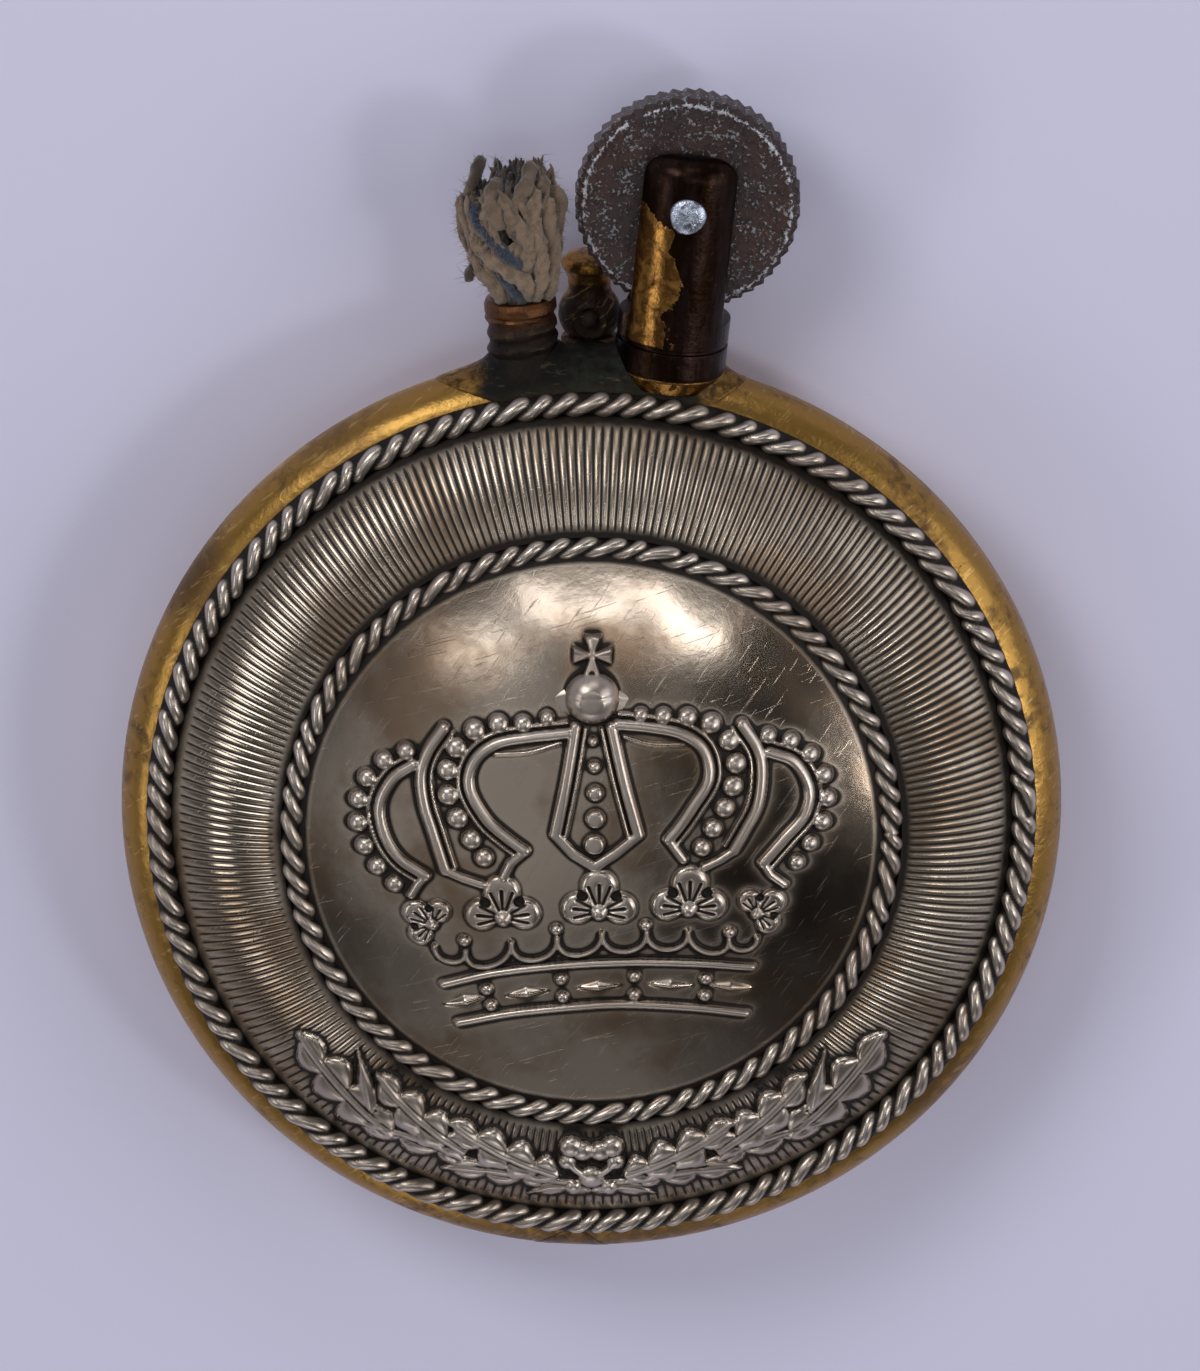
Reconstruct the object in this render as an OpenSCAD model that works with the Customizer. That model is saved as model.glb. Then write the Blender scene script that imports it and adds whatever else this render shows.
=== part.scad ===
// Trench lighter: a round petrol tank with a stamped medallion on its front, and a wick tube,
// a filler plug and a flint striker on its rim.
// The medallion faces -Y, the striker wheel is at the top along +Z, and the flat of the
// back that the lighter rests on lies in the plane y = 0 with its centre at the origin.
// All sizes are in millimetres.

/* [Tank] */
// Diameter of the tank over its rounded rim
tank_d = 48.3; // [46:0.1:54]
// Thickness of the rounded rim from front to back
rim_t = 4.1; // [3.8:0.1:4.6]
// Depth from the resting flat to the middle of the rim
rim_depth = 6; // [5:0.1:7.5]
// Diameter of the flat that the lighter rests on
rest_d = 22; // [16:1:28]
// Thickness of the brass sheet
sheet_t = 0.45; // [0.3:0.05:0.6]
// Height of the front shell's low crown under the medallion
front_crown = 2; // [1:0.1:2.4]

/* [Medallion] */
// Width of brass rim left showing round the medallion
rim_show = 1.35; // [1:0.05:1.7]
// Thickness of the medallion's sheet
medallion_t = 0.45; // [0.3:0.05:0.6]
// Width of the outer rope border
outer_rope_w = 1.25; // [0.9:0.05:1.5]
// Width of the inner rope border
inner_rope_w = 1.15; // [0.8:0.05:1.4]
// Height of both rope borders over the sheet
rope_h = 0.42; // [0.3:0.02:0.55]
// Outer diameter of the inner rope border
inner_rope_d = 31.9; // [28:0.1:34]
// Climb of the ribbed band from the outer border to the inner one
band_rise = 2.6; // [2:0.1:3]
// Bulge of the ribbed band over a straight slope
band_bulge = 0.55; // [0.3:0.05:0.8]
// Rise of the smooth dome inside the inner border
dome_rise = 2.1; // [1.4:0.1:3]

/* [Crown] */
// Height of the crown over the dome
crown_h = 0.6; // [0.4:0.05:0.8]
// Depth that wear has rubbed off the crown where it stood highest
crown_wear = 0.25; // [0.1:0.01:0.3]
// Height of the crown's band from its lower edge to its upper edge
crown_band_h = 2.5; // [2:0.1:2.8]
// Diameter of the orb on the crown
orb_d = 3; // [2.4:0.1:3.2]
// Width of the cross on the orb
cross_w = 2; // [1.6:0.1:2.2]
// Turn of the crown against the lighter's upright
crown_turn = 1.5; // [0:0.5:4]

/* [Saddle] */
// Length of the saddle along the rim
saddle_w = 15.9; // [14.5:0.1:18]
// Thickness of the saddle at its middle
saddle_t = 0.35; // [0.25:0.05:0.6]

/* [Wick] */
// Distance of the wick tube to the left of the middle, at the rim
wick_x = 3.45; // [3.2:0.05:3.9]
// Lean of the wick tube to the left
wick_tilt = 4; // [0:0.5:6]
// Diameter of the wick tube under its thread
wick_tube_d = 3.4; // [3.2:0.05:3.6]
// Bore of the wick tube
wick_bore_d = 2.6; // [2.2:0.05:2.8]
// Height of the wick tube over the rim
wick_tube_h = 3.1; // [2.6:0.1:4]
// Length of the wick tube inside the tank
wick_tube_in = 3.6; // [3:0.1:5]
// Pitch of the cap thread on the wick tube
cap_thread_pitch = 0.85; // [0.5:0.05:1]
// Depth of the cap thread
cap_thread_h = 0.16; // [0.1:0.01:0.2]
// Height of the wick's frayed tuft over the tube
tuft_h = 7.6; // [5:0.1:9]
// Greatest width of the tuft
tuft_w = 5; // [4:0.1:5.2]
// Depth of the tuft from front to back
tuft_depth = 3.8; // [3:0.1:4.4]
// Length of wick inside the tube and the tank
wick_in = 13; // [9:0.5:16]

/* [Filler] */
// Distance of the filler plug behind the middle of the rim
filler_back = 2.8; // [2.7:0.05:3]
// Diameter of the filler neck
neck_d = 2.9; // [2.7:0.05:3.1]
// Diameter of the thread in the filler neck
filler_thread_d = 1.9; // [1.6:0.05:2.1]
// Diameter of the ball on the filler plug
ball_d = 3.2; // [2.9:0.05:3.2]
// Diameter of the button on top of the plug
button_d = 2.9; // [2.4:0.05:3]
// Distance from the middle of the ball to the rim of the button
button_h = 2.45; // [2.3:0.05:2.8]
// Thickness of the leather washer
washer_t = 0.4; // [0.3:0.05:0.6]
// Diameter of the cross pin
cross_pin_d = 1; // [0.7:0.05:1.1]

/* [Striker] */
// Distance of the striker to the right of the middle, at the rim
striker_x = 4.04; // [3.9:0.02:4.4]
// Lean of the striker to the right
striker_tilt = 6; // [4:0.5:8]
// Diameter of the striker post
post_d = 5.74; // [5.4:0.02:5.9]
// Height of the post over the rim
post_h = 11.2; // [10.4:0.1:12.5]
// Rounding of the post's top edge
post_round = 1.1; // [0.6:0.1:1.4]
// Diameter of the striker wheel
wheel_d = 11.58; // [10.6:0.02:11.6]
// Thickness of the striker wheel
wheel_t = 2.1; // [1.6:0.05:2.1]
// Number of teeth round the wheel
teeth = 52; // [40:1:70]
// Depth of the wheel's teeth
tooth_h = 0.28; // [0.15:0.01:0.4]
// Height of the wheel's axle over the rim
axle_h = 8.35; // [8.3:0.01:8.8]
// Diameter of the axle
axle_d = 1.4; // [1:0.05:1.6]
// Diameter of the axle's rivet heads
axle_head_d = 1.88; // [1.8:0.02:2.3]
// Diameter of the flint's bore
flint_bore_d = 2.7; // [2.5:0.05:2.9]
// Wall of the flint channel inside the tank
channel_wall = 0.4; // [0.25:0.05:0.5]
// Length of the flint
flint_l = 4.5; // [2.5:0.1:6]
// Length of the flint's spring
spring_l = 24; // [18:0.5:28]
// Turns of the flint's spring
spring_turns = 18; // [12:1:24]
// Wire diameter of the spring
spring_wire_d = 0.36; // [0.25:0.02:0.4]
// Length of the screw that closes the flint channel
screw_l = 3; // [2.4:0.1:4]

/* [Hidden] */
$fn = 64;
lathe_fn = 160;

// Clearances between pieces that move on each other
slide_gap = 0.08;
thread_gap = 0.03;
spin_gap = 0.04;
flint_gap = 0.08;
wad_gap = 0.4;
eps = 0.01;

// Tank
tank_r = tank_d / 2;
bead_r = rim_t / 2;
bead_c = tank_r - bead_r;
rest_r = rest_d / 2;
back_rise = rim_depth - bead_r;
back_arc_r = (pow(bead_c - rest_r, 2) + pow(back_rise, 2)) / (2 * back_rise);
medallion_r = tank_r - rim_show;
seat_f = rim_depth + sqrt(pow(bead_r, 2) - pow(medallion_r - bead_c, 2));
front_r = medallion_r - 2 * outer_rope_w;
front_arc_r = (pow(front_r, 2) + pow(front_crown, 2)) / (2 * front_crown);

// Medallion
rope_land = 0.08;
band_out_r = medallion_r - outer_rope_w - rope_land;
band_out_f = seat_f + medallion_t;
inner_rope_r = inner_rope_d / 2;
band_in_r = inner_rope_r + rope_land;
band_in_f = band_out_f + band_rise;
band_dr = band_out_r - band_in_r;
band_chord = sqrt(pow(band_dr, 2) + pow(band_rise, 2));
band_arc_r = (pow(band_chord / 2, 2) + pow(band_bulge, 2)) / (2 * band_bulge);
band_drop = (band_arc_r - band_bulge) / band_chord;
band_centre = [(band_out_r + band_in_r) / 2 - band_rise * band_drop,
    (band_out_f + band_in_f) / 2 - band_dr * band_drop];
dome_r = inner_rope_r - inner_rope_w - rope_land;
dome_arc_r = (pow(dome_r, 2) + pow(dome_rise, 2)) / (2 * dome_rise);
dome_centre_f = band_in_f + dome_rise - dome_arc_r;

// Crown, in a plane seen from the front, with its middle at the dome's
crown_bed = medallion_t / 2;
crown_crest_f = dome_centre_f + dome_arc_r + crown_h - crown_wear;
crown_shift = 0.2;
band_edge_z = -6.5;
band_edge_r = 34;
band_half = 7.7;
scallop_r = 0.85;
scallops = 9;
petal_r = 0.92;
petal_step = 1.1 * petal_r;
petal_spread = 110;
orb_z = 7.75;
orb_wear = 0.1;
orb_f = crown_crest_f - orb_d / 2 + orb_wear;
cross_z = 10;
cross_waist = 0.24 * cross_w;
cross_end = 0.56 * cross_w;

// Saddle
saddle_end_t = 0.08;
saddle_side_t = 0.25;
saddle_end_z = sqrt(pow(tank_r, 2) - pow(saddle_w / 2, 2)) + saddle_end_t;
saddle_sag = tank_r + saddle_t - saddle_end_z;
saddle_arc_r = (pow(saddle_w / 2, 2) + pow(saddle_sag, 2)) / (2 * saddle_sag);

// Wick tube and wick
wick_tube_r = wick_tube_d / 2;
wick_r = wick_bore_d / 2 - slide_gap;
wick_lip_h = 0.6;
collar_flare = 0.45;
collar_h = 0.2;
collar_sink = 1.6;
tuft_gap = 0.3;

// Filler
filler_x = 0.1;
neck_r = neck_d / 2;
neck_sink = 0.3;
neck_top = tank_r - neck_sink;
ball_r = ball_d / 2;
ball_flat_r = 0.65 * ball_r;
ball_z = neck_top + washer_t + sqrt(pow(ball_r, 2) - pow(ball_flat_r, 2));
neck_back_f = rim_depth - filler_back - neck_r;
neck_back_r = rest_r + sqrt(pow(back_arc_r, 2) - pow(back_arc_r - neck_back_f, 2));
neck_bottom = neck_back_r - 1.2;
filler_thread_r = filler_thread_d / 2;
shank_l = 3.2;
button_rim_t = 0.45;
button_dome_h = 0.4;
button_stem_r = 0.28 * button_d;
recess_r = 0.55 * ball_r;
recess_depth = 0.35 * ball_r;
recess_drop = 0.12 * ball_r;
pin_end_proud = 0.1;

// Striker
post_r = post_d / 2;
post_sink = 0.6;
slot_w = wheel_t + 0.7;
wheel_r = wheel_d / 2;
slot_foot = axle_h - wheel_r - 0.28;
groove_h = 0.82;
groove_w = 0.26;
groove_depth = 0.14;
axle_r = axle_d / 2;
axle_head_r = axle_head_d / 2;
axle_seat_cut = 0.05;
axle_seat = sqrt(pow(post_r, 2) - pow(axle_head_r, 2)) - axle_seat_cut;
axle_head_h = 0.5;
hub_r = 1.7;
hub_side_gap = 0.1;
bore_r = flint_bore_d / 2;
channel_r = bore_r + channel_wall;
channel_top = 1.25;
ferrule_h = 0.85;
ferrule_taper = 0.35;
spigot_r = (channel_r + post_r) / 2;
spigot_top = 0.5;
chord_half = striker_x * sin(striker_tilt) + tank_r * cos(striker_tilt);
striker_end = -(chord_half + sqrt(pow(chord_half, 2) - pow(striker_x, 2)));
bush_r = bead_r - 0.08;
bush_over = 1;
bush_top = striker_end + screw_l + bush_over;
screw_r = bore_r - thread_gap;
screw_face = striker_end + bead_r - sqrt(pow(bead_r, 2) - pow(bore_r, 2)) + 0.02;
screw_slot_w = 0.5;
screw_slot_h = 0.7;
flint_r = bore_r - slide_gap;
flint_top = axle_h - wheel_r - flint_gap;
flint_bottom = flint_top - flint_l;
spring_bottom = screw_face + screw_l;
spring_top = spring_bottom + spring_l;
spring_r = bore_r - 0.2;
pusher_head_h = 1.2;
pusher_stem_r = 0.55 * bore_r;
guide_r = spring_r - spring_wire_d - 0.15;
guide_l = 3.5;

// A profile of radius and depth turned round the lighter's own axis, front towards -Y
module lathe() {
    rotate([90, 0, 0]) rotate_extrude($fn = lathe_fn) children();
}

// Frame whose Z runs up the striker's axis from the level of the rim's crest
module on_striker() {
    translate([striker_x, -rim_depth, tank_r]) rotate([0, striker_tilt, 0]) children();
}

// Frame whose Z runs up the wick tube's axis from the level of the rim's crest
module on_wick() {
    translate([-wick_x, -rim_depth, tank_r]) rotate([0, -wick_tilt, 0]) children();
}

// Frame whose Z is the filler's axis, with heights as in the model
module on_filler() {
    translate([-filler_x, filler_back - rim_depth, 0]) children();
}

// A cylinder between two heights
module rod(r, low, high) {
    translate([0, 0, low]) cylinder(r = r, h = high - low);
}

// Half section of the tank, drawn in by an inset
module tank_section(inset) {
    difference() {
        union() {
            translate([bead_c, rim_depth]) circle(r = bead_r - inset);
            translate([0, inset]) square([rest_r, rim_depth - inset]);
            intersection() {
                translate([rest_r, back_arc_r]) circle(r = back_arc_r - inset, $fn = lathe_fn);
                translate([rest_r, 0]) square([bead_c - rest_r, rim_depth]);
            }
            translate([0, rim_depth]) square([bead_c, seat_f - inset - rim_depth]);
        }
        translate([0, seat_f - inset]) square([medallion_r, rim_t]);
    }
    intersection() {
        translate([0, seat_f + front_crown - front_arc_r]) circle(r = front_arc_r - inset, $fn = lathe_fn);
        translate([0, rim_depth]) square([front_r, rim_t + front_crown]);
    }
}

// The rounded rim as a full ring
module rim_ring() {
    lathe() translate([bead_c, rim_depth]) circle(r = bead_r);
}

// The ring whose top is the saddle's outside, which the pieces on the rim are coped to
module saddle_ring() {
    side_r = bead_r + saddle_side_t;
    translate([0, 0, tank_r + saddle_t - saddle_arc_r]) lathe()
        translate([saddle_arc_r - side_r, rim_depth]) circle(r = side_r);
}

// The room that the medallion takes, with its clearance
module medallion_room() {
    lathe() square([medallion_r + rope_land, tank_r]);
}

module rim_holes() {
    on_wick() rod(wick_tube_r, -wick_tube_in, wick_tube_h);
    on_striker() rod(channel_r, -post_h, channel_top);
    on_striker() rod(bush_r, striker_end - bead_r, bush_top);
    on_filler() rod(neck_r, neck_bottom, neck_top);
}

module tank_shell(low, high) {
    difference() {
        lathe() intersection() {
            difference() {
                tank_section(0);
                tank_section(sheet_t);
            }
            translate([0, low]) square([tank_d, high - low]);
        }
        rim_holes();
    }
}

module tank_rear_shell() {
    color("#a8812f") tank_shell(0, rim_depth);
}

module tank_front_shell() {
    color("#b58c34") tank_shell(rim_depth, rim_depth + rim_t + front_crown);
}

// Half section of the stamped sheet: flange, bulging band, inner land and dome
module medallion_sheet() {
    translate([band_out_r - medallion_t, seat_f])
        square([medallion_r - band_out_r + medallion_t, medallion_t]);
    intersection() {
        difference() {
            translate(band_centre) circle(r = band_arc_r, $fn = lathe_fn);
            translate(band_centre) circle(r = band_arc_r - medallion_t, $fn = lathe_fn);
        }
        translate([band_in_r - eps, seat_f]) square([band_dr + eps, band_rise + medallion_t + band_bulge]);
    }
    translate([dome_r - medallion_t, band_in_f - medallion_t])
        square([band_in_r - dome_r + medallion_t, medallion_t]);
    intersection() {
        difference() {
            translate([0, dome_centre_f]) circle(r = dome_arc_r, $fn = 2 * lathe_fn);
            translate([0, dome_centre_f]) circle(r = dome_arc_r - medallion_t, $fn = 2 * lathe_fn);
        }
        translate([0, band_in_f - medallion_t]) square([dome_r, dome_rise + 2 * medallion_t]);
    }
}

// Half section of a rope border that ends at an outer radius on a level of the sheet
module rope_section(outer_r, w, level) {
    intersection() {
        translate([outer_r - w / 2, level + rope_h - w / 2]) circle(r = w / 2);
        translate([outer_r - w, level - medallion_t]) square([w, w + medallion_t]);
    }
}

// Points along a curve from p to s that its two inner points pull at
function curve(p, q, r, s) = [for (i = [0:8]) let (t = i / 8, u = 1 - t)
    u * u * u * p + 3 * u * u * t * q + 3 * u * t * t * r + t * t * t * s];

// The big arch on the left of the crown, from the orb out and down to its foot
module near_arch() {
    polygon(concat(
        [[-1, 5.9], [-1, 7]],
        curve([-2.2, 7.2], [-6, 7.4], [-10.6, 6.4], [-8.5, 2]),
        [[-7.6, -1.4], [-5.7, -2.2], [-4.7, -1.8], [-3.7, -0.3]],
        curve([-5.1, 1.2], [-6.9, 3.2], [-6.9, 5.4], [-3.2, 5.7])
    ));
}

// The arch behind it, of which only the outer curve shows
module far_arch() {
    polygon(concat(
        curve([-8.9, 5.3], [-12.9, 5], [-13.7, 0.4], [-9.9, -2.9]),
        [[-9, -2.5], [-8.5, -1.7]],
        curve([-9.4, -0.9], [-11.2, 0.8], [-11.4, 3.3], [-9, 4])
    ));
}

module trefoil() {
    circle(r = petal_r);
    for (turn = [0, petal_spread, -petal_spread]) rotate(turn) translate([0, petal_step]) circle(r = petal_r);
}

module cross() {
    for (turn = [0:90:270]) rotate(turn)
        polygon([[-cross_waist / 2, 0], [cross_waist / 2, 0], [cross_end / 2, cross_w / 2], [-cross_end / 2, cross_w / 2]]);
}

// The curved band at the foot of the crown, with a row of scallops on it
module crown_band() {
    translate([0, band_edge_z - band_edge_r]) {
        intersection() {
            difference() {
                circle(r = band_edge_r, $fn = 2 * lathe_fn);
                circle(r = band_edge_r - crown_band_h, $fn = 2 * lathe_fn);
            }
            polygon([[0, 0], [-band_half, band_edge_r], [-band_half, tank_r + band_edge_r],
                [band_half, tank_r + band_edge_r], [band_half, band_edge_r]]);
        }
        for (i = [0:scallops - 1]) rotate((i / (scallops - 1) - 0.5) * 2 * asin(band_half / band_edge_r))
            translate([0, band_edge_r + scallop_r / 2]) circle(r = scallop_r);
    }
}

// Outline of the whole crown under the orb
module crown_outline() {
    polygon([[-0.95, 6.3], [-2.1, 0.6], [-1.1, -0.4], [0, -1.1], [1.1, -0.4], [2.1, 0.6], [0.95, 6.3]]);
    for (side = [0, 1]) mirror([side, 0]) {
        near_arch();
        far_arch();
        translate([-4.8, -3.4]) trefoil();
        translate([-8.6, -4.1]) circle(r = petal_r);
        translate([-9.2, -3.2]) circle(r = 0.8 * petal_r);
    }
    translate([0, -3.1]) trefoil();
    translate([0, cross_z]) cross();
    crown_band();
}

// What the dome's sheet can be raised to: a given height over the dome, but not over the level
// that wear has rubbed it down to
module raised_dome(h) {
    lathe() intersection() {
        difference() {
            translate([0, dome_centre_f]) circle(r = dome_arc_r + h, $fn = 2 * lathe_fn);
            translate([0, dome_centre_f]) circle(r = dome_arc_r - crown_bed, $fn = 2 * lathe_fn);
        }
        translate([0, band_out_f]) square([dome_r - rope_land, crown_crest_f - band_out_f]);
    }
}

module crown() {
    intersection() {
        raised_dome(crown_h);
        rotate([90, 0, 0]) linear_extrude(2 * crown_crest_f)
            translate([crown_shift, 0]) rotate(crown_turn) crown_outline();
    }
    intersection() {
        raised_dome(orb_d);
        translate([crown_shift, 0, 0]) rotate([0, -crown_turn, 0]) translate([0, -orb_f, orb_z]) sphere(d = orb_d);
    }
}

module front_medallion() {
    color("#9d978a") {
        lathe() {
            medallion_sheet();
            rope_section(medallion_r, outer_rope_w, seat_f + medallion_t);
            rope_section(inner_rope_r, inner_rope_w, band_in_f);
        }
        crown();
    }
}

// A thin plate bent over the rim, feathered to the rim at both ends
module saddle_plate() {
    color("#3c3a36") difference() {
        intersection() {
            saddle_ring();
            translate([-saddle_w / 2, -tank_r, 0]) cube([saddle_w, tank_r, tank_d]);
        }
        rim_ring();
        medallion_room();
        on_wick() rod(wick_tube_r, -wick_tube_in, wick_tube_h);
        on_filler() rod(neck_r, neck_bottom, tank_d);
        on_striker() rod(channel_r, -post_h, channel_top);
    }
}

module wick_tube() {
    threads = floor((wick_tube_h - collar_h) / cap_thread_pitch);
    color("#7d5a2c") on_wick() rotate_extrude() polygon(concat(
        [[wick_bore_d / 2, -wick_tube_in], [wick_tube_r, -wick_tube_in]],
        [for (i = [threads:-1:1]) each [
            [wick_tube_r, wick_tube_h - wick_lip_h - (i - 0.3) * cap_thread_pitch],
            [wick_tube_r + cap_thread_h, wick_tube_h - wick_lip_h - (i - 0.65) * cap_thread_pitch],
            [wick_tube_r, wick_tube_h - wick_lip_h - (i - 1) * cap_thread_pitch]
        ]],
        [[wick_tube_r + cap_thread_h, wick_tube_h - wick_lip_h / 2],
         [wick_tube_r + cap_thread_h / 2, wick_tube_h], [wick_bore_d / 2, wick_tube_h]]
    ));
}

// A low ring round the foot of the wick tube, coped to the rim
module wick_collar() {
    color("#4a443a") difference() {
        on_wick() translate([0, 0, -collar_sink])
            cylinder(r1 = wick_tube_r + collar_flare, r2 = wick_tube_r + eps, h = collar_sink + collar_h);
        on_wick() rod(wick_tube_r, -wick_tube_in, wick_tube_h);
        saddle_ring();
        medallion_room();
    }
}

// One ring of the tuft: height over the tube, middle, and half width
function tuft_ring(t) =
    let (swell = sin(90 * min(1, 2 * t)) * sqrt(1 - pow(t, 8)))
    [tuft_gap + t * tuft_h, -0.35 * t, wick_r + (tuft_w / 2 - wick_r) * swell];

module tuft() {
    rings = 10;
    sides = 16;
    ring_list = [for (i = [0:rings]) tuft_ring(0.98 * i / rings)];
    points = [for (g = ring_list) for (j = [0:sides - 1])
        [g[1] + g[2] * cos(j * 360 / sides), tuft_depth / tuft_w * g[2] * sin(j * 360 / sides), g[0]]];
    walls = [for (i = [0:rings - 1]) for (j = [0:sides - 1])
        let (a = i * sides + j, b = i * sides + (j + 1) % sides)
        each [[a, b + sides, b], [a, a + sides, b + sides]]];
    foot = [for (j = [1:sides - 2]) [0, j, j + 1]];
    head = [for (j = [1:sides - 2]) [rings * sides, rings * sides + j + 1, rings * sides + j]];
    polyhedron(points = points, faces = concat(walls, foot, head));
}

module wick() {
    color("#a08a6c") on_wick() {
        rod(wick_r, -wick_in, wick_tube_h + tuft_gap + eps);
        translate([0, 0, wick_tube_h]) tuft();
    }
}

// Cotton packed into the tank round everything that passes through it
module cotton_wadding() {
    color("#c9c2b2") difference() {
        lathe() tank_section(sheet_t + wad_gap);
        on_wick() rod(wick_tube_r + wad_gap, -wick_tube_in - wad_gap, wick_tube_h);
        on_wick() rod(wick_r + slide_gap, -wick_in - wad_gap, 0);
        on_filler() rod(neck_r + wad_gap, neck_bottom - wad_gap, tank_d);
        on_striker() rod(channel_r + wad_gap, striker_end, post_h);
        on_striker() rod(bush_r + wad_gap, striker_end, bush_top + wad_gap);
    }
}

module filler_neck() {
    color("#6b5526") on_filler() difference() {
        rod(neck_r, neck_bottom, neck_top);
        rod(filler_thread_r + thread_gap, neck_bottom - eps, neck_top + eps);
    }
}

module filler_washer() {
    color("#5a3b22") on_filler() translate([0, 0, neck_top]) difference() {
        cylinder(r = neck_r, h = washer_t);
        translate([0, 0, -eps]) cylinder(r = filler_thread_r + thread_gap, h = washer_t + 2 * eps);
    }
}

// Turned in one piece: threaded shank, drilled ball, stem and domed button
module filler_plug() {
    color("#a87c2a") on_filler() difference() {
        union() {
            rod(filler_thread_r, neck_top - shank_l, ball_z);
            intersection() {
                translate([0, 0, ball_z]) sphere(r = ball_r);
                rod(ball_d, neck_top + washer_t, ball_z + ball_d);
            }
            rod(button_stem_r, ball_z, ball_z + button_h);
            rod(button_d / 2, ball_z + button_h, ball_z + button_h + button_rim_t);
            translate([0, 0, ball_z + button_h + button_rim_t])
                rotate_extrude() polygon([[0, 0], [button_d / 2, 0],
                    for (a = [15:15:75]) [button_d / 2 * cos(a), button_dome_h * sin(a)],
                    [0, button_dome_h]]);
        }
        translate([0, 0, ball_z]) rotate([90, 0, 0]) rod(cross_pin_d / 2, -ball_d, ball_d);
        translate([0, 0, ball_z - recess_drop]) rotate([90, 0, 0])
            rod(recess_r, ball_r - recess_depth, ball_d);
    }
}

module filler_cross_pin() {
    pin_l = ball_r + pin_end_proud;
    color("#c79a45") on_filler() translate([0, 0, ball_z]) rotate([90, 0, 0]) {
        rod(cross_pin_d / 2, -ball_r + recess_depth, pin_l - cross_pin_d / 2);
        translate([0, 0, pin_l - cross_pin_d / 2]) sphere(r = cross_pin_d / 2);
    }
}

// A round post with a closed rounded top, milled through for the wheel
module striker_post() {
    color("#8a6a2a") difference() {
        on_striker() difference() {
            rotate_extrude() union() {
                translate([0, -post_sink]) square([post_r, post_h - post_round + post_sink]);
                square([post_r - post_round, post_h]);
                translate([post_r - post_round, post_h - post_round]) circle(r = post_round);
            }
            translate([-post_d, -slot_w / 2, slot_foot]) cube([2 * post_d, slot_w, post_h]);
            rotate_extrude() translate([post_r - groove_depth, groove_h])
                square([groove_depth + eps, groove_w]);
            rod(spigot_r, -post_h, spigot_top);
            rod(channel_r, 0, channel_top);
            rod(bore_r, 0, slot_foot + eps);
            translate([0, 0, axle_h]) rotate([90, 0, 0]) rod(axle_r, -post_d, post_d);
            for (side = [0, 180])
                translate([0, 0, axle_h]) rotate([90, 0, side]) rod(axle_head_r, axle_seat, post_d);
        }
        saddle_ring();
    }
}

// A tapered ferrule under the post, coped over the saddle, with a spigot up inside the post
module striker_collar() {
    color("#b98e35") difference() {
        on_striker() union() {
            translate([0, 0, -post_sink - ferrule_h])
                cylinder(r1 = post_r - ferrule_taper, r2 = post_r - eps, h = ferrule_h);
            rod(spigot_r, -post_sink - ferrule_h, spigot_top);
        }
        on_striker() rod(channel_r, -post_h, channel_top);
        saddle_ring();
        medallion_room();
    }
}

module flint_channel() {
    color("#94732c") on_striker() difference() {
        rod(channel_r, bush_top, channel_top);
        rod(bore_r, striker_end, channel_top + eps);
    }
}

// Points of the serrated outline: a steep and a long flank to each tooth
function serration() = [for (i = [0:teeth - 1]) each [
    wheel_r * [cos(i * 360 / teeth), sin(i * 360 / teeth)],
    (wheel_r - tooth_h) * [cos((i + 0.3) * 360 / teeth), sin((i + 0.3) * 360 / teeth)]
]];

module striker_wheel() {
    hub_t = slot_w - 2 * hub_side_gap;
    color("#6a5f58") on_striker() translate([0, 0, axle_h]) rotate([90, 0, 0]) difference() {
        union() {
            translate([0, 0, -wheel_t / 2]) linear_extrude(wheel_t) polygon(serration());
            rod(hub_r, -hub_t / 2, hub_t / 2);
        }
        rod(axle_r + spin_gap, -wheel_t, wheel_t);
    }
}

module wheel_axle() {
    color("#8d8f94") on_striker() translate([0, 0, axle_h]) rotate([90, 0, 0]) {
        rod(axle_r, -axle_seat, axle_seat);
        for (side = [0, 180]) rotate([0, side, 0]) translate([0, 0, axle_seat])
            rotate_extrude() polygon([[0, -eps], [axle_r, -eps], [axle_r, 0], [axle_head_r, 0],
                [axle_head_r, 0.4 * axle_head_h],
                for (a = [20:20:80])
                    [axle_head_r * cos(a), axle_head_h * (0.4 + 0.6 * sin(a))],
                [0, axle_head_h]]);
    }
}

module flint() {
    color("#55504c") on_striker() rod(flint_r, flint_bottom, flint_top);
}

module flint_pusher() {
    color("#a9a295") on_striker() {
        rod(flint_r, flint_bottom - pusher_head_h, flint_bottom);
        rod(pusher_stem_r, spring_top, flint_bottom - pusher_head_h);
        rod(flint_r, spring_top, spring_top + pusher_head_h);
    }
}

// A wire carried round an open helix, with its ends bedded on flat stubs of turns
function wire_frame(t) =
    let (a = 360 * spring_turns * t, climb = spring_l - spring_wire_d)
    [(spring_r - spring_wire_d / 2) * cos(a), (spring_r - spring_wire_d / 2) * sin(a),
     spring_bottom + spring_wire_d / 2 + climb * t, a];

module flint_spring() {
    sides = 6;
    steps = spring_turns * 10;
    points = [for (i = [0:steps]) let (p = wire_frame(i / steps)) for (j = [0:sides - 1])
        let (b = 30 + j * 360 / sides, w = spring_wire_d / 2)
        [p[0] + w * cos(b) * cos(p[3]), p[1] + w * cos(b) * sin(p[3]), p[2] + w * sin(b)]];
    walls = [for (i = [0:steps - 1]) for (j = [0:sides - 1])
        let (a = i * sides + j, b = i * sides + (j + 1) % sides)
        each [[a, b, b + sides], [a, b + sides, a + sides]]];
    start = [for (j = [1:sides - 2]) [0, j + 1, j]];
    finish = [for (j = [1:sides - 2]) [steps * sides, steps * sides + j, steps * sides + j + 1]];
    color("#8f9296") on_striker() polyhedron(points = points, faces = concat(walls, start, finish));
}

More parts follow.
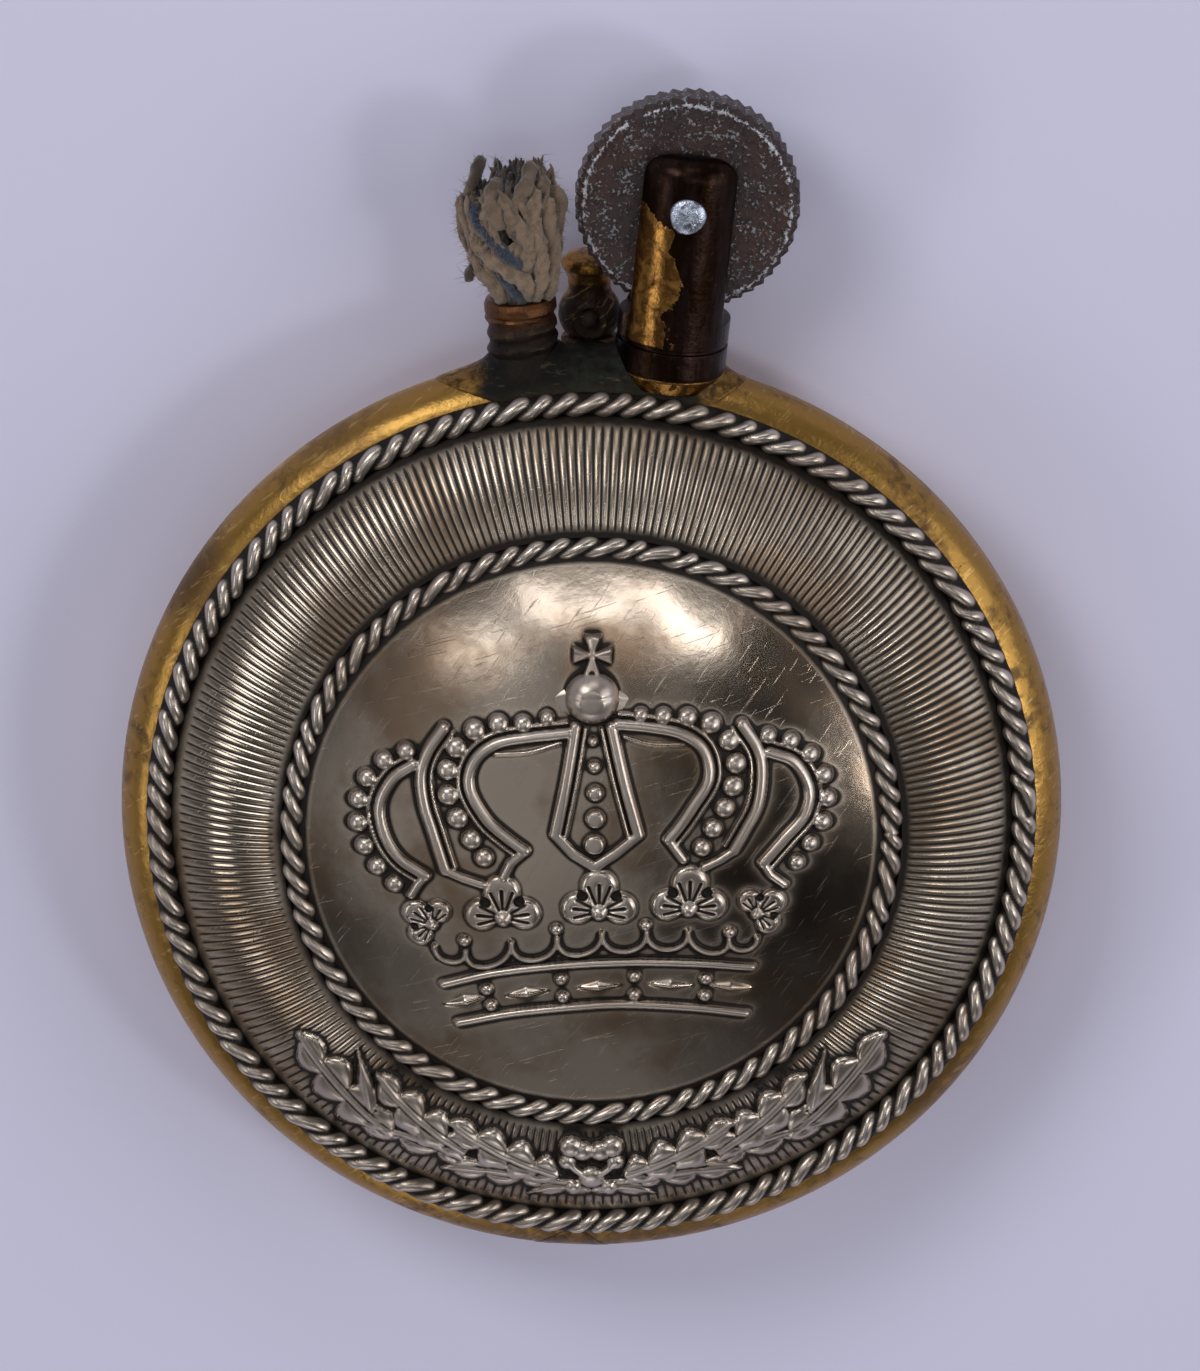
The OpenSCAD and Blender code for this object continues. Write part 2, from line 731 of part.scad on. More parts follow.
module spring_screw() {
    color("#9a7830") on_striker() difference() {
        union() {
            rod(screw_r, screw_face, spring_bottom);
            rod(guide_r, spring_bottom, spring_bottom + guide_l);
        }
        translate([-post_r, -screw_slot_w / 2, screw_face - eps])
            cube([post_d, screw_slot_w, screw_slot_h + eps]);
    }
}

// A threaded bush in the rim opposite the striker, dressed flush with the rim
module spring_screw_bush() {
    color("#8c6a28") intersection() {
        on_striker() difference() {
            rod(bush_r, striker_end - bead_r, bush_top);
            rod(bore_r, striker_end - rim_t, bush_top + eps);
        }
        lathe() tank_section(0);
    }
}

tank_rear_shell();
tank_front_shell();
front_medallion();
saddle_plate();
wick_tube();
wick_collar();
wick();
cotton_wadding();
filler_neck();
filler_washer();
filler_plug();
filler_cross_pin();
striker_post();
striker_collar();
flint_channel();
striker_wheel();
wheel_axle();
flint();
flint_pusher();
flint_spring();
spring_screw();
spring_screw_bush();
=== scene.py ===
# %% [markdown]
# # A trench lighter
# The lighter is a round brass petrol tank with a stamped medallion soldered on its front. On
# the rim stand a wick tube, a filler plug and a slotted post that holds the striker wheel.
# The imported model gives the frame: every piece made here takes the place of one of its solids.
# Lengths in this lesson are in millimetres, and one function turns them into metres.

# %% Load the frame
import bpy
import numpy as np
from math import cos, pi, radians, sin, sqrt
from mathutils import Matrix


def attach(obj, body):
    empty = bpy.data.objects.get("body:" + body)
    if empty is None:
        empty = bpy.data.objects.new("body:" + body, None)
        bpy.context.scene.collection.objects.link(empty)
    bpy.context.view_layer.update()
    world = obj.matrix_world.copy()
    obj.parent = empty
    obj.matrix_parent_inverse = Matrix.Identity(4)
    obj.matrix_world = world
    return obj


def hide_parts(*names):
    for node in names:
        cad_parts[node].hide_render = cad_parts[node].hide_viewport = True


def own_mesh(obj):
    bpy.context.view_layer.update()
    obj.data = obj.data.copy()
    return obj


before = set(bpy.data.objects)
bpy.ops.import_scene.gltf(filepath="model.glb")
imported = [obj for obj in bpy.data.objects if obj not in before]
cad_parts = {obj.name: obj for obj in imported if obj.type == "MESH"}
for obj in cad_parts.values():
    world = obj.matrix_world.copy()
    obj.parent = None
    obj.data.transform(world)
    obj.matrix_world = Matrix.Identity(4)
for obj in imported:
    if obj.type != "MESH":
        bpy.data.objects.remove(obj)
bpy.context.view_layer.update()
MM = 0.001
rng = np.random.default_rng(1914)

# %% [markdown]
# ## Where things are
# These lengths repeat the ones the solids were made with. The medallion faces -Y, so a
# height over the table is written as f, with f = -y. The striker and the wick tube lean
# away from each other, and each has an axis of its own through the middle of the rim.

# %% Main lengths
TANK_R = 24.15
BEAD_R, BEAD_F = 2.05, 6.0
BEAD_AT = TANK_R - BEAD_R
SHEET = 0.45
BAND_INNER_F = 10.977
DOME_EDGE, DOME_TOP, DOME_R = 14.72, 13.077, 52.64
WEAR_LEVEL = 13.427
POST_AT, POST_UP = np.array([4.04, -6.0, 24.15]), np.array([0.104528, 0.0, 0.994522])
WICK_AT, WICK_UP = np.array([-3.45, -6.0, 24.15]), np.array([-0.069756, 0.0, 0.997564])
WHEEL_AT = np.array([4.913, -6.0, 32.454])
PLUG_X, PLUG_Y = -0.1, -3.2
Z_UP, Y_BACK = np.array([0.0, 0.0, 1.0]), np.array([0.0, 1.0, 0.0])
print("rim circle", BEAD_AT, "mm, medallion crest", DOME_TOP, "mm over the table")

# %% [markdown]
# ## The camera
# The photograph looks down on the lighter from 19 degrees on the side of its head. A very long
# lens from far away keeps the round tank round. The view is 70.3 mm high at the lighter.

# %% Camera
VIEW_RISE, VIEW_FAR, VIEW_HIGH = 19.0, 2000.0, 70.3
LOOK_AT = np.array([0.44, -6.0, 6.2])
camera_data = bpy.data.cameras.new("camera")
camera_data.lens = 36.0 * VIEW_FAR / VIEW_HIGH
camera_data.clip_start = 0.01
camera = bpy.data.objects.new("camera", camera_data)
bpy.context.scene.collection.objects.link(camera)
rise = radians(VIEW_RISE)
camera.location = (LOOK_AT + VIEW_FAR * np.array([0.0, -cos(rise), sin(rise)])) * MM
camera.rotation_euler = (pi / 2 - rise, 0.0, 0.0)
bpy.context.scene.camera = camera
print("camera", round(VIEW_FAR), "mm away, lens", round(camera_data.lens, 1), "mm")

# %% [markdown]
# ## A shape is an array of points
# Each surface is a grid of points worked out at once with numpy: rows run one way over the
# surface and columns the other. A shape keeps its points, its faces and a few marks, which are
# numbers on the points such as how deep a point lies in a hollow. Two shapes add up to one.

# %% Shapes
class Shape:
    """Points in millimetres, four-sided faces, triangles, and named marks on the points."""

    def __init__(self, points, quads, tris, marks=None):
        self.points, self.marks = np.asarray(points, float).reshape(-1, 3), marks or {}
        self.quads, self.tris = np.asarray(quads, int).reshape(-1, 4), np.asarray(tris, int).reshape(-1, 3)

    def volume(self):
        """Six times the volume that the faces enclose: the sum of a . (b x c) over triangles."""
        t = np.concatenate([self.quads[:, [0, 1, 2]], self.quads[:, [0, 2, 3]], self.tris])
        a, b, c = (self.points[t[:, k]] for k in range(3))
        return float((a * np.cross(b, c)).sum())

    def outward(self):
        """Turns every face round where the volume comes out negative."""
        if self.volume() < 0:
            self.quads, self.tris = self.quads[:, ::-1], self.tris[:, ::-1]
        return self

    def __add__(self, other):
        n = len(self.points)
        marks = {}
        for key in {**self.marks, **other.marks}:
            mine = self.marks.get(key, np.zeros(n))
            marks[key] = np.concatenate([mine, other.marks.get(key, np.zeros(len(other.points)))])
        return Shape(np.concatenate([self.points, other.points]),
                     np.concatenate([self.quads, other.quads + n]),
                     np.concatenate([self.tris, other.tris + n]), marks)


def cells(rows, cols, wrap_rows, wrap_cols):
    """The four corner numbers of each cell of a grid, whose last row or column may meet the first."""
    i = np.arange(rows if wrap_rows else rows - 1)[:, None]
    j = np.arange(cols if wrap_cols else cols - 1)[None, :]
    i2, j2 = (i + 1) % rows, (j + 1) % cols
    corners = np.broadcast_arrays(i * cols + j, i * cols + j2, i2 * cols + j2, i2 * cols + j)
    return np.stack(corners, axis=-1).reshape(-1, 4)


def ring_grid(points, wrap_rows=False, marks=None):
    """A tube: the columns of each row form a ring. Unless the rows form a ring too, a middle
    point closes the first row and another closes the last."""
    rows, cols = points.shape[:2]
    flat, marks = points.reshape(-1, 3), {k: v.reshape(-1) for k, v in (marks or {}).items()}
    quads = cells(rows, cols, wrap_rows, True)
    if wrap_rows:
        return Shape(flat, quads, [], marks).outward()
    n, j = rows * cols, np.arange(cols)
    j2 = (j + 1) % cols
    first = np.stack([np.full(cols, n), j2, j], axis=-1)
    last = np.stack([np.full(cols, n + 1), n - cols + j, n - cols + j2], axis=-1)
    flat = np.concatenate([flat, points[0].mean(0)[None], points[-1].mean(0)[None]])
    marks = {k: np.concatenate([v, [v[:cols].mean(), v[-cols:].mean()]]) for k, v in marks.items()}
    return Shape(flat, quads, np.concatenate([first, last]), marks).outward()


def plate_grid(points, down, marks=None):
    """A plate: a grid with an edge all round. A copy of the edge, moved by the vector down, and
    a middle point under the grid close it."""
    rows, cols = points.shape[:2]
    index = np.arange(rows * cols).reshape(rows, cols)
    edge = np.concatenate([index[0, :-1], index[:-1, -1], index[-1, :0:-1], index[:0:-1, 0]])
    flat = points.reshape(-1, 3)
    under = flat[edge] + down
    n, m = len(flat), len(edge)
    k = np.arange(m)
    k2 = (k + 1) % m
    skirt = np.stack([edge, edge[k2], n + k2, n + k], axis=-1)[:, ::-1]
    fan = np.stack([np.full(m, n + m), n + k, n + k2], axis=-1)[:, ::-1]
    quads = np.concatenate([cells(rows, cols, False, False), skirt])
    marks = {key: np.concatenate([v.reshape(-1), v.reshape(-1)[edge], [v.mean()]])
             for key, v in (marks or {}).items()}
    return Shape(np.concatenate([flat, under, under.mean(0)[None]]), quads, fan, marks).outward()


print("a cube of 8 points has", len(cells(2, 4, False, True)), "side faces in a ring grid")

# %% [markdown]
# ## Turned pieces and tubes
# A turned piece is a profile carried round an axis, and a tube is a circle carried along a path.
# Both need two directions across the axis, which a cross product gives.

# %% Turning and sweeping
def across(axis):
    """Two unit directions at right angles to an axis and to each other. The first is near Y for
    an upright axis."""
    axis = np.asarray(axis, float) / np.linalg.norm(axis)
    side = np.cross(axis, np.array([1.0, 0.0, 0.0]) if abs(axis[0]) < 0.9 else Z_UP)
    side /= np.linalg.norm(side)
    return side, np.cross(axis, side)


def soften(profile, cut, steps=4):
    """Rounds the corners of a profile: each corner is replaced by the curve
    (1-t)^2 a + 2 t (1-t) corner + t^2 b between two points at the distance cut from it."""
    p = np.asarray(profile, float)
    out = [p[:1]]
    t = np.linspace(0, 1, steps + 1)[:, None]
    for a, corner, b in zip(p[:-2], p[1:-1], p[2:]):
        la, lb = np.linalg.norm(a - corner), np.linalg.norm(b - corner)
        a = corner + (a - corner) * min(cut, 0.45 * la) / la
        b = corner + (b - corner) * min(cut, 0.45 * lb) / lb
        out.append((1 - t) ** 2 * a + 2 * t * (1 - t) * corner + t ** 2 * b)
    return np.concatenate(out + [p[-1:]])


def finer(profile, step):
    """Adds points along each straight stretch so that none is longer than step."""
    p = np.asarray(profile, float)
    out = []
    for a, b in zip(p[:-1], p[1:]):
        n = max(1, int(np.ceil(np.linalg.norm(b - a) / step)))
        out.append(a + (b - a) * (np.arange(n) / n)[:, None])
    return np.concatenate(out + [p[-1:]])


def turned(profile, at, axis, cols=128, wrap_rows=False, wobble=0.0, seed=0):
    """Carries a profile of (distance from the axis, height along it) round the axis:
    point = at + height axis + distance (cos a side1 + sin a side2). A wobble adds slow waves to
    the distance, as a hand-finished or dented piece has."""
    profile = np.asarray(profile, float)
    side1, side2 = across(axis)
    a = np.linspace(0, 2 * pi, cols, endpoint=False)
    r, h = profile[:, 0][:, None], profile[:, 1][:, None]
    r = np.maximum(r, 1e-4)
    if wobble:
        dice = np.random.default_rng(seed)
        wave = sum(dice.normal() * np.sin(k * a + dice.uniform(0, 6) + dice.uniform(-1, 1) * h) / k
                   for k in range(2, 7))
        r = r + wobble * wave * np.minimum(1, r)
    ring = np.cos(a)[None, :, None] * side1 + np.sin(a)[None, :, None] * side2
    points = np.asarray(at) + h[..., None] * np.asarray(axis) + r[..., None] * ring
    return ring_grid(points, wrap_rows, {"up": np.broadcast_to(h, points.shape[:2])})


def smooth_path(points, n):
    """A curve through given points: on each stretch the cubic that keeps the direction of the
    neighbours at both ends."""
    p = np.asarray(points, float)
    p = np.concatenate([2 * p[:1] - p[1:2], p, 2 * p[-1:] - p[-2:-1]])
    s = np.linspace(0, len(p) - 3 - 1e-9, n)
    i = s.astype(int)
    t = (s - i)[:, None]
    a, b, c, d = p[i], p[i + 1], p[i + 2], p[i + 3]
    return 0.5 * (2 * b + (c - a) * t + (2 * a - 5 * b + 4 * c - d) * t ** 2
                  + (3 * b - a - 3 * c + d) * t ** 3)


def tube(path, radius, cols=12, marks=None):
    """Carries a ring along a path: point = path + radius (cos a n1 + sin a n2), where n1 and n2
    lie across the path's direction. The radius may change along the path and round it."""
    path = np.asarray(path, float)
    along = np.gradient(path, axis=0)
    along /= np.linalg.norm(along, axis=1)[:, None]
    guide = np.array([0.0, 1.0, 0.0])
    n1 = np.cross(along, guide)
    n1 /= np.maximum(np.linalg.norm(n1, axis=1)[:, None], 1e-9)
    n2 = np.cross(along, n1)
    a = np.linspace(0, 2 * pi, cols, endpoint=False)
    radius = np.asarray(radius, float) * np.ones((1, 1))
    radius = np.broadcast_to(radius.T if radius.shape[0] == 1 else radius, (len(path), cols))
    points = path[:, None] + radius[..., None] * (np.cos(a)[None, :, None] * n1[:, None]
                                                  + np.sin(a)[None, :, None] * n2[:, None])
    return ring_grid(points, False, marks)


# %% [markdown]
# ## From shape to object
# One function puts a shape into a mesh with foreach_set, which is quick because it copies
# whole arrays. Edges sharper than a given angle stay crisp, and the others are shaded smooth.

# %% Making an object
def piece(name, shape, body="lighter_body", stands_for=(), crisp=55):
    """Makes an object from a shape, lets it ride on a body and hides the solids it stands for."""
    mesh = bpy.data.meshes.new(name)
    faces = [shape.quads, shape.tris]
    corners = np.concatenate([f.reshape(-1) for f in faces]).astype(np.int32)
    sizes = np.concatenate([np.full(len(f), f.shape[1]) for f in faces])
    mesh.vertices.add(len(shape.points))
    mesh.vertices.foreach_set("co", (shape.points * MM).astype(np.float32).reshape(-1))
    mesh.loops.add(len(corners))
    mesh.loops.foreach_set("vertex_index", corners)
    mesh.polygons.add(len(sizes))
    mesh.polygons.foreach_set("loop_start", (np.cumsum(sizes) - sizes).astype(np.int32))
    mesh.polygons.foreach_set("use_smooth", np.ones(len(sizes), bool))
    for key, values in shape.marks.items():
        mark = mesh.attributes.new(key, "FLOAT", "POINT")
        mark.data.foreach_set("value", np.asarray(values, np.float32))
    mesh.update(calc_edges=True)
    mesh.validate()
    mesh.set_sharp_from_angle(angle=radians(crisp))
    obj = bpy.data.objects.new(name, mesh)
    bpy.context.scene.collection.objects.link(obj)
    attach(obj, body)
    if stands_for:
        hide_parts(*stands_for)
    count = int((sizes - 2).sum())
    print(f"{name}: {len(shape.points)} points, {count} triangles")
    return obj


# %% [markdown]
# ## Relief drawn as heights
# The medallion was struck between two dies, so all its relief is a height over a smooth sheet.
# Heights are easy to draw with: a ridge is half round across a curve, a bead is the cap of a
# ball, and where two forms meet the higher one wins. Where the height lies under the average of
# its surroundings, grime and painted shade darken it later, so that average is worked out here too.

# %% Ridges, beads and hollows
def distance(x, z, path):
    """Distance of every point (x, z) to a broken line: to each stretch from p to q it is
    |v - t (q - p)| with v = point - p and t = v . (q - p) / |q - p|^2 kept between 0 and 1."""
    best = np.full(x.shape, 1e9)
    for (px, pz), (qx, qz) in zip(path[:-1], path[1:]):
        dx, dz = qx - px, qz - pz
        t = np.clip(((x - px) * dx + (z - pz) * dz) / (dx * dx + dz * dz + 1e-12), 0, 1)
        best = np.minimum(best, np.hypot(x - px - t * dx, z - pz - t * dz))
    return best


def near(x, z, path, reach):
    """Which points lie in the box round a path, widened by reach: only they need the distance."""
    lo, hi = path.min(0) - reach, path.max(0) + reach
    return (x > lo[0]) & (x < hi[0]) & (z > lo[1]) & (z < hi[1])


def raise_ridge(height, x, z, points, half, tall, curved=True, shift=0.0):
    """Worn round ridge: tall (1 - (d / half)^2.6)^0.5 at a distance d from the path, which may
    be shifted sideways to run beside another one."""
    path = smooth_path(points, 6 * len(points)) if curved else np.asarray(points, float)
    if shift:
        along = np.gradient(path, axis=0)
        along /= np.linalg.norm(along, axis=1)[:, None]
        path = path + shift * np.stack([-along[:, 1], along[:, 0]], axis=1)
    m = near(x, z, path, half)
    d = distance(x[m], z[m], path) / half
    height[m] = np.maximum(height[m], tall * np.clip(1 - d ** 2.6, 0, 1) ** 0.5)


def raise_bead(height, x, z, at, r, tall):
    """Bead: the worn cap tall (1 - (d / r)^2.4)^0.55 round one point."""
    d = np.hypot(x - at[0], z - at[1]) / r
    m = d < 1
    height[m] = np.maximum(height[m], tall * (1 - d[m] ** 2.4) ** 0.55)


def average(values, reach, wrap_rows=False, times=2):
    """Mean over a square of 2 reach + 1 cells, from running sums along both ways, done twice
    so that the square's corners don't show."""
    for _ in range(times):
        for axis in (0, 1):
            v = np.moveaxis(values, axis, 0)
            mode = "wrap" if axis == 0 and wrap_rows else "edge"
            v = np.pad(v, [(reach + 1, reach)] + [(0, 0)] * (v.ndim - 1), mode=mode)
            s = np.cumsum(v, axis=0)
            values = np.moveaxis((s[2 * reach + 1:] - s[:-2 * reach - 1]) / (2 * reach + 1), 0, axis)
    return values


def hollow(height, fine, broad, wrap_rows=False):
    """How deep each point lies under its surroundings, near and wider, from 0 to 1."""
    close = average(height, fine, wrap_rows) - height
    wide = average(height, broad, wrap_rows) - height
    return np.clip(close / 0.07, 0, 1) * 0.6 + np.clip(wide / 0.2, 0, 1) * 0.35


print("a flat sheet has hollows of", float(hollow(np.zeros((30, 30)), 2, 5).max()))

# %% [markdown]
# ## The crown
# The stamped crown has five arches. Each is a half-round bar with a fine line beside it and a
# row of pearls along its back. Three trefoils stand on the band between scallops, and the band
# carries lozenges between pairs of pearls. The paths below are (right, up) from the
# medallion's middle.

# %% Paths of the crown
ARCHES = [
    ([(-0.82, 6.3), (-1.25, 3.61), (-1.84, 0.59)], 1), ([(1.05, 6.3), (1.64, 3.61), (2.41, 0.58)], -1),
    ([(-1.2, 6.0), (-3.2, 5.76), (-4.9, 5.37), (-6.0, 4.4), (-6.25, 3.0), (-5.41, 1.4), (-4.39, 0.44),
      (-3.4, -0.3)], -1),
    ([(1.35, 6.45), (2.92, 6.29), (4.62, 5.9), (5.75, 5.0), (6.02, 3.5), (5.13, 1.94), (4.5, 1.0),
      (3.95, 0.3)], 1),
    ([(-7.55, 6.1), (-8.39, 4.79), (-8.73, 3.5), (-8.56, 1.97), (-8.13, 0.56), (-7.5, -1.5)], 1),
    ([(7.7, 6.3), (8.53, 4.96), (8.74, 3.7), (8.53, 1.97), (7.85, 0.58), (7.3, -0.4)], -1),
    ([(-9.1, 4.1), (-10.17, 3.28), (-10.85, 1.82), (-10.6, 0.23), (-9.83, -0.98), (-8.5, -1.85)], -1),
    ([(9.1, 4.75), (10.4, 4.15), (11.16, 2.69), (10.91, 1.29), (9.89, 0.1), (8.8, -1.15)], 1),
]
FEET = [
    ([(-1.84, 0.59), (-0.95, -0.42), (0.1, -1.1)], 0.30),
    ([(2.41, 0.58), (1.22, -0.42), (0.2, -1.1)], 0.30),
    ([(-3.4, -0.3), (-4.14, -0.99), (-4.5, -1.75)], 0.28),
    ([(3.95, 0.3), (4.28, -0.2), (4.7, -0.8)], 0.28),
    ([(-7.5, -1.5), (-6.6, -1.89), (-5.6, -2.2)], 0.27),
    ([(7.3, -0.4), (6.57, -0.89), (5.8, -1.25)], 0.27),
    ([(-8.5, -1.85), (-8.9, -2.35), (-9.24, -2.95)], 0.26),
    ([(8.8, -1.15), (9.21, -1.84), (9.89, -2.4)], 0.26),
]
PEARLS = [
    [(0.08, 5.57, 0.26), (0.15, 4.23, 0.32), (0.2, 2.82, 0.4), (0.2, 1.44, 0.46), (0.15, 0.06, 0.5)],
    [(-2.27, 6.78, 0.36), (-3.49, 6.45, 0.44), (-4.75, 6.4, 0.48), (-5.98, 6.02, 0.5), (-6.92, 5.07, 0.5),
     (-7.37, 3.88, 0.5), (-7.33, 2.55, 0.5), (-6.85, 1.34, 0.5), (-6.14, 0.21, 0.48), (-5.5, -0.75, 0.46)],
    [(2.53, 6.95, 0.36), (3.68, 6.85, 0.42), (4.91, 6.75, 0.46), (6.13, 6.38, 0.5), (7.05, 5.45, 0.5),
     (7.41, 4.23, 0.5), (7.25, 3.03, 0.5), (6.83, 1.9, 0.48), (6.23, 0.82, 0.46), (5.67, -0.2, 0.44)],
    [(-9.49, 4.75, 0.44), (-10.6, 4.2, 0.46), (-11.48, 3.22, 0.46), (-11.93, 2.05, 0.46), (-11.96, 0.8, 0.46),
     (-11.62, -0.43, 0.45), (-10.97, -1.5, 0.44), (-10.09, -2.4, 0.42)],
    [(9.04, 5.62, 0.42), (10.19, 5.28, 0.44), (11.2, 4.5, 0.45), (11.9, 3.35, 0.45), (12.08, 2.1, 0.44),
     (11.85, 0.85, 0.44), (11.22, -0.25, 0.42), (10.53, -1.25, 0.4)],
]
TREFOILS = [(-4.55, -3.55, 0.06), (0.4, -3.15, 0.0), (5.02, -3.05, -0.04)]
SCALLOP_CUSPS = [(-8.05, -5.75), (-6.45, -5.95), (-4.1, -5.4), (-1.76, -5.1), (0.54, -4.8), (2.83, -4.75),
                 (4.96, -4.8), (7.05, -5.3), (8.5, -5.3)]
UPPER_RIM = [(-7.6, -7.9), (-4.9, -7.12), (-1.5, -6.62), (1.9, -6.45), (5.3, -6.6), (8.25, -6.95)]
LOWER_RIM = [(-6.85, -10.1), (-4.05, -9.42), (-0.65, -8.98), (1.9, -8.87), (5.3, -9.15), (7.95, -9.6)]
BAND_PEARLS = [(-5.38, -8.1), (-5.15, -9.02), (-1.56, -7.42), (-1.47, -8.45), (2.2, -7.28), (2.19, -8.33),
               (5.86, -7.5), (5.81, -8.48)]
LOZENGES = [(-6.45, -8.85, 14), (-3.3, -8.3, 9), (0.37, -7.88, 3), (4.05, -7.83, -4), (7.1, -8.05, -9)]
print("pearls on the arches:", sum(len(row) for row in PEARLS))

# %% [markdown]
# Such a crown could be cut into the die form by form: bars, pearls, flowers and rims. The
# function below lays each form on the height in turn, for all the points at once. A point keeps
# the highest, except in the slits and holes of the flowers. The cross and the ball come last.

# %% Heights of the crown
def crown_relief(x, z):
    """Height of the crown over the dome, and the dark that lies on its flat places beside the scallops and in
    the flowers: painted shade with some grime.
    """
    h, grime_and_shade = np.zeros(x.shape), np.zeros(x.shape)
    for path, side in ARCHES:
        raise_ridge(h, x, z, path, 0.33, 0.42)
        raise_ridge(h, x, z, path, 0.13, 0.26, shift=0.53 * side)
    for path, half in FEET:
        raise_ridge(h, x, z, path, half, 0.40, curved=False)
    raise_ridge(h, x, z, [(-1.6, 5.45), (-3.2, 4.95), (-4.9, 4.8)], 0.12, 0.16)
    raise_ridge(h, x, z, [(1.7, 5.75), (3.1, 5.35), (4.7, 5.3)], 0.12, 0.16)
    for row in PEARLS:
        for px, pz, r in row:
            raise_bead(h, x, z, (px, pz), 1.16 * r, 0.46)
    for cx, cz, lean in TREFOILS:
        trefoil(h, grime_and_shade, x, z, cx, cz, lean)
    for cx, cz, lean in [(-8.45, -4.35, 0.95), (8.75, -3.75, -0.95)]:
        trefoil(h, grime_and_shade, x, z, cx, cz, lean, 0.72)
    for cx, cz in [(-6.52, -5.4), (-1.8, -4.62), (2.78, -4.4), (7.1, -4.95)]:
        raise_bead(h, x, z, (cx, cz), 0.34, 0.4)
    for (ax, az), (bx, bz) in zip(SCALLOP_CUSPS[:-1], SCALLOP_CUSPS[1:]):
        t = np.linspace(0, pi, 15)
        sag = 0.48 * abs(bx - ax)
        arc = np.stack([(ax + bx) / 2 - (bx - ax) / 2 * np.cos(t), (az + bz) / 2 - (bz - az) / 2 * np.cos(t)
                        - sag * np.sin(t) ** 0.8], axis=1)
        raise_ridge(h, x, z, arc, 0.14, 0.34, curved=False)
        m = near(x, z, arc, 0.0)
        # a dark band on each side of a scallop: painted shade with some grime
        grime_and_shade[m] = np.maximum(grime_and_shade[m], 0.4 * np.exp(-(distance(x[m], z[m], arc) / 0.45) ** 2))
    for rim in (UPPER_RIM, LOWER_RIM):
        raise_ridge(h, x, z, rim, 0.24, 0.38)
    for px, pz in BAND_PEARLS:
        raise_bead(h, x, z, (px, pz), 0.36, 0.4)
    for cx, cz, turn in LOZENGES:
        u = (x - cx) * cos(radians(turn)) + (z - cz) * sin(radians(turn))
        v = (z - cz) * cos(radians(turn)) - (x - cx) * sin(radians(turn))
        h = np.maximum(h, 0.34 * np.clip(1 - np.abs(u) / 1.3 - np.abs(v) / 0.36, 0, 1) ** 0.8)
    for k in range(4):
        c, s = cos(radians(90 * k - 1)), sin(radians(90 * k - 1))
        u, v = (x - 0.04) * c + (z - 10.0) * s, (z - 10.0) * c - (x - 0.04) * s
        arm = np.clip((0.14 + 0.36 * np.clip(u, 0, 1) - np.abs(v)) / 0.12, 0, 1) * (u > 0) * (u < 0.98)
        h = np.maximum(h, arm * (0.3 + 0.12 * np.clip(np.abs(v) * 3, 0, 1)))
    raise_ridge(h, x, z, [(0.03, 9.4), (0.03, 8.9)], 0.16, 0.34, curved=False)
    dome = DOME_TOP - DOME_R + np.sqrt(DOME_R ** 2 - x ** 2 - z ** 2)
    d = np.hypot(x - 0.03, z - 7.75)
    ball = 12.03 + np.sqrt(np.clip(1.5 ** 2 - d ** 2, 0, None)) - dome
    belt = 0.06 * np.exp(-((z - 7.95 - 0.05 * (x - 0.03) ** 2) / 0.1) ** 2)
    h = np.maximum(h, np.where(d < 1.47, ball - belt, 0))
    return h, np.clip(grime_and_shade, 0, 1)


def trefoil(h, grime_and_shade, x, z, cx, cz, lean, size=1.0):
    """Three puffed petals, 0.38 (1 - d^4)^0.5 high, that meet at a bead. Three slits run out in
    each petal, and a round hole sits in the nook on each side of the upper one."""
    c, s = cos(lean) / size, sin(lean) / size
    u, v = (x - cx) * c + (z - cz) * s, (z - cz) * c - (x - cx) * s
    flower = np.zeros(x.shape)
    for pu, pv, r in [(0.0, 0.95, 0.98), (-1.1, -0.28, 0.88), (1.1, -0.28, 0.88), (0.0, -0.1, 0.7)]:
        d = np.hypot(u - pu, v - pv) / r
        flower = np.maximum(flower, 0.38 * np.clip(1 - d ** 4, 0, 1) ** 0.5 - 0.05 * np.exp(-(d / 0.6) ** 2))
    for turn in (90, 68, 112, 172, 194, 150, 8, -14, 30):
        du, dv = cos(radians(turn)), sin(radians(turn))
        far = 1.5 if 60 < turn < 120 else 1.32
        line = np.array([(0.5 * du, 0.5 * dv - 0.45), (far * du, far * dv - 0.45)])
        m = near(u, v, line, 0.3)
        slit = np.exp(-(distance(u[m], v[m], line) / 0.075) ** 2) * (flower[m] > 0.1)
        flower[m] -= 0.22 * slit
        # each slit is darkened: painted shade with some grime
        grime_and_shade[m] = np.maximum(grime_and_shade[m], slit)
    for hu in (-0.86, 0.86):
        d = np.hypot(u - hu, v - 0.42) / 0.25
        flower = np.where(d < 1, -0.1, flower)
        # each hole and a ring round it are darkened as painted shade
        grime_and_shade[:] = np.maximum(grime_and_shade, np.clip((1.3 - d) * 3, 0, 1))
    h[:] = np.where((flower > h) | (flower < 0), flower * (0.5 + 0.5 * size), h)
    raise_bead(h, u, v, (0.0, -0.55), 0.42, 0.5)


# %% [markdown]
# The dome is a disc. A square grid bent into a disc has cells of nearly one size, where rings
# and spokes would crowd at the middle: a point (u, v) of the square goes to
# (u sqrt(1 - v^2/2), v sqrt(1 - u^2/2)). Four quarters keep each piece light, and the rows are
# closest together where the crown is.

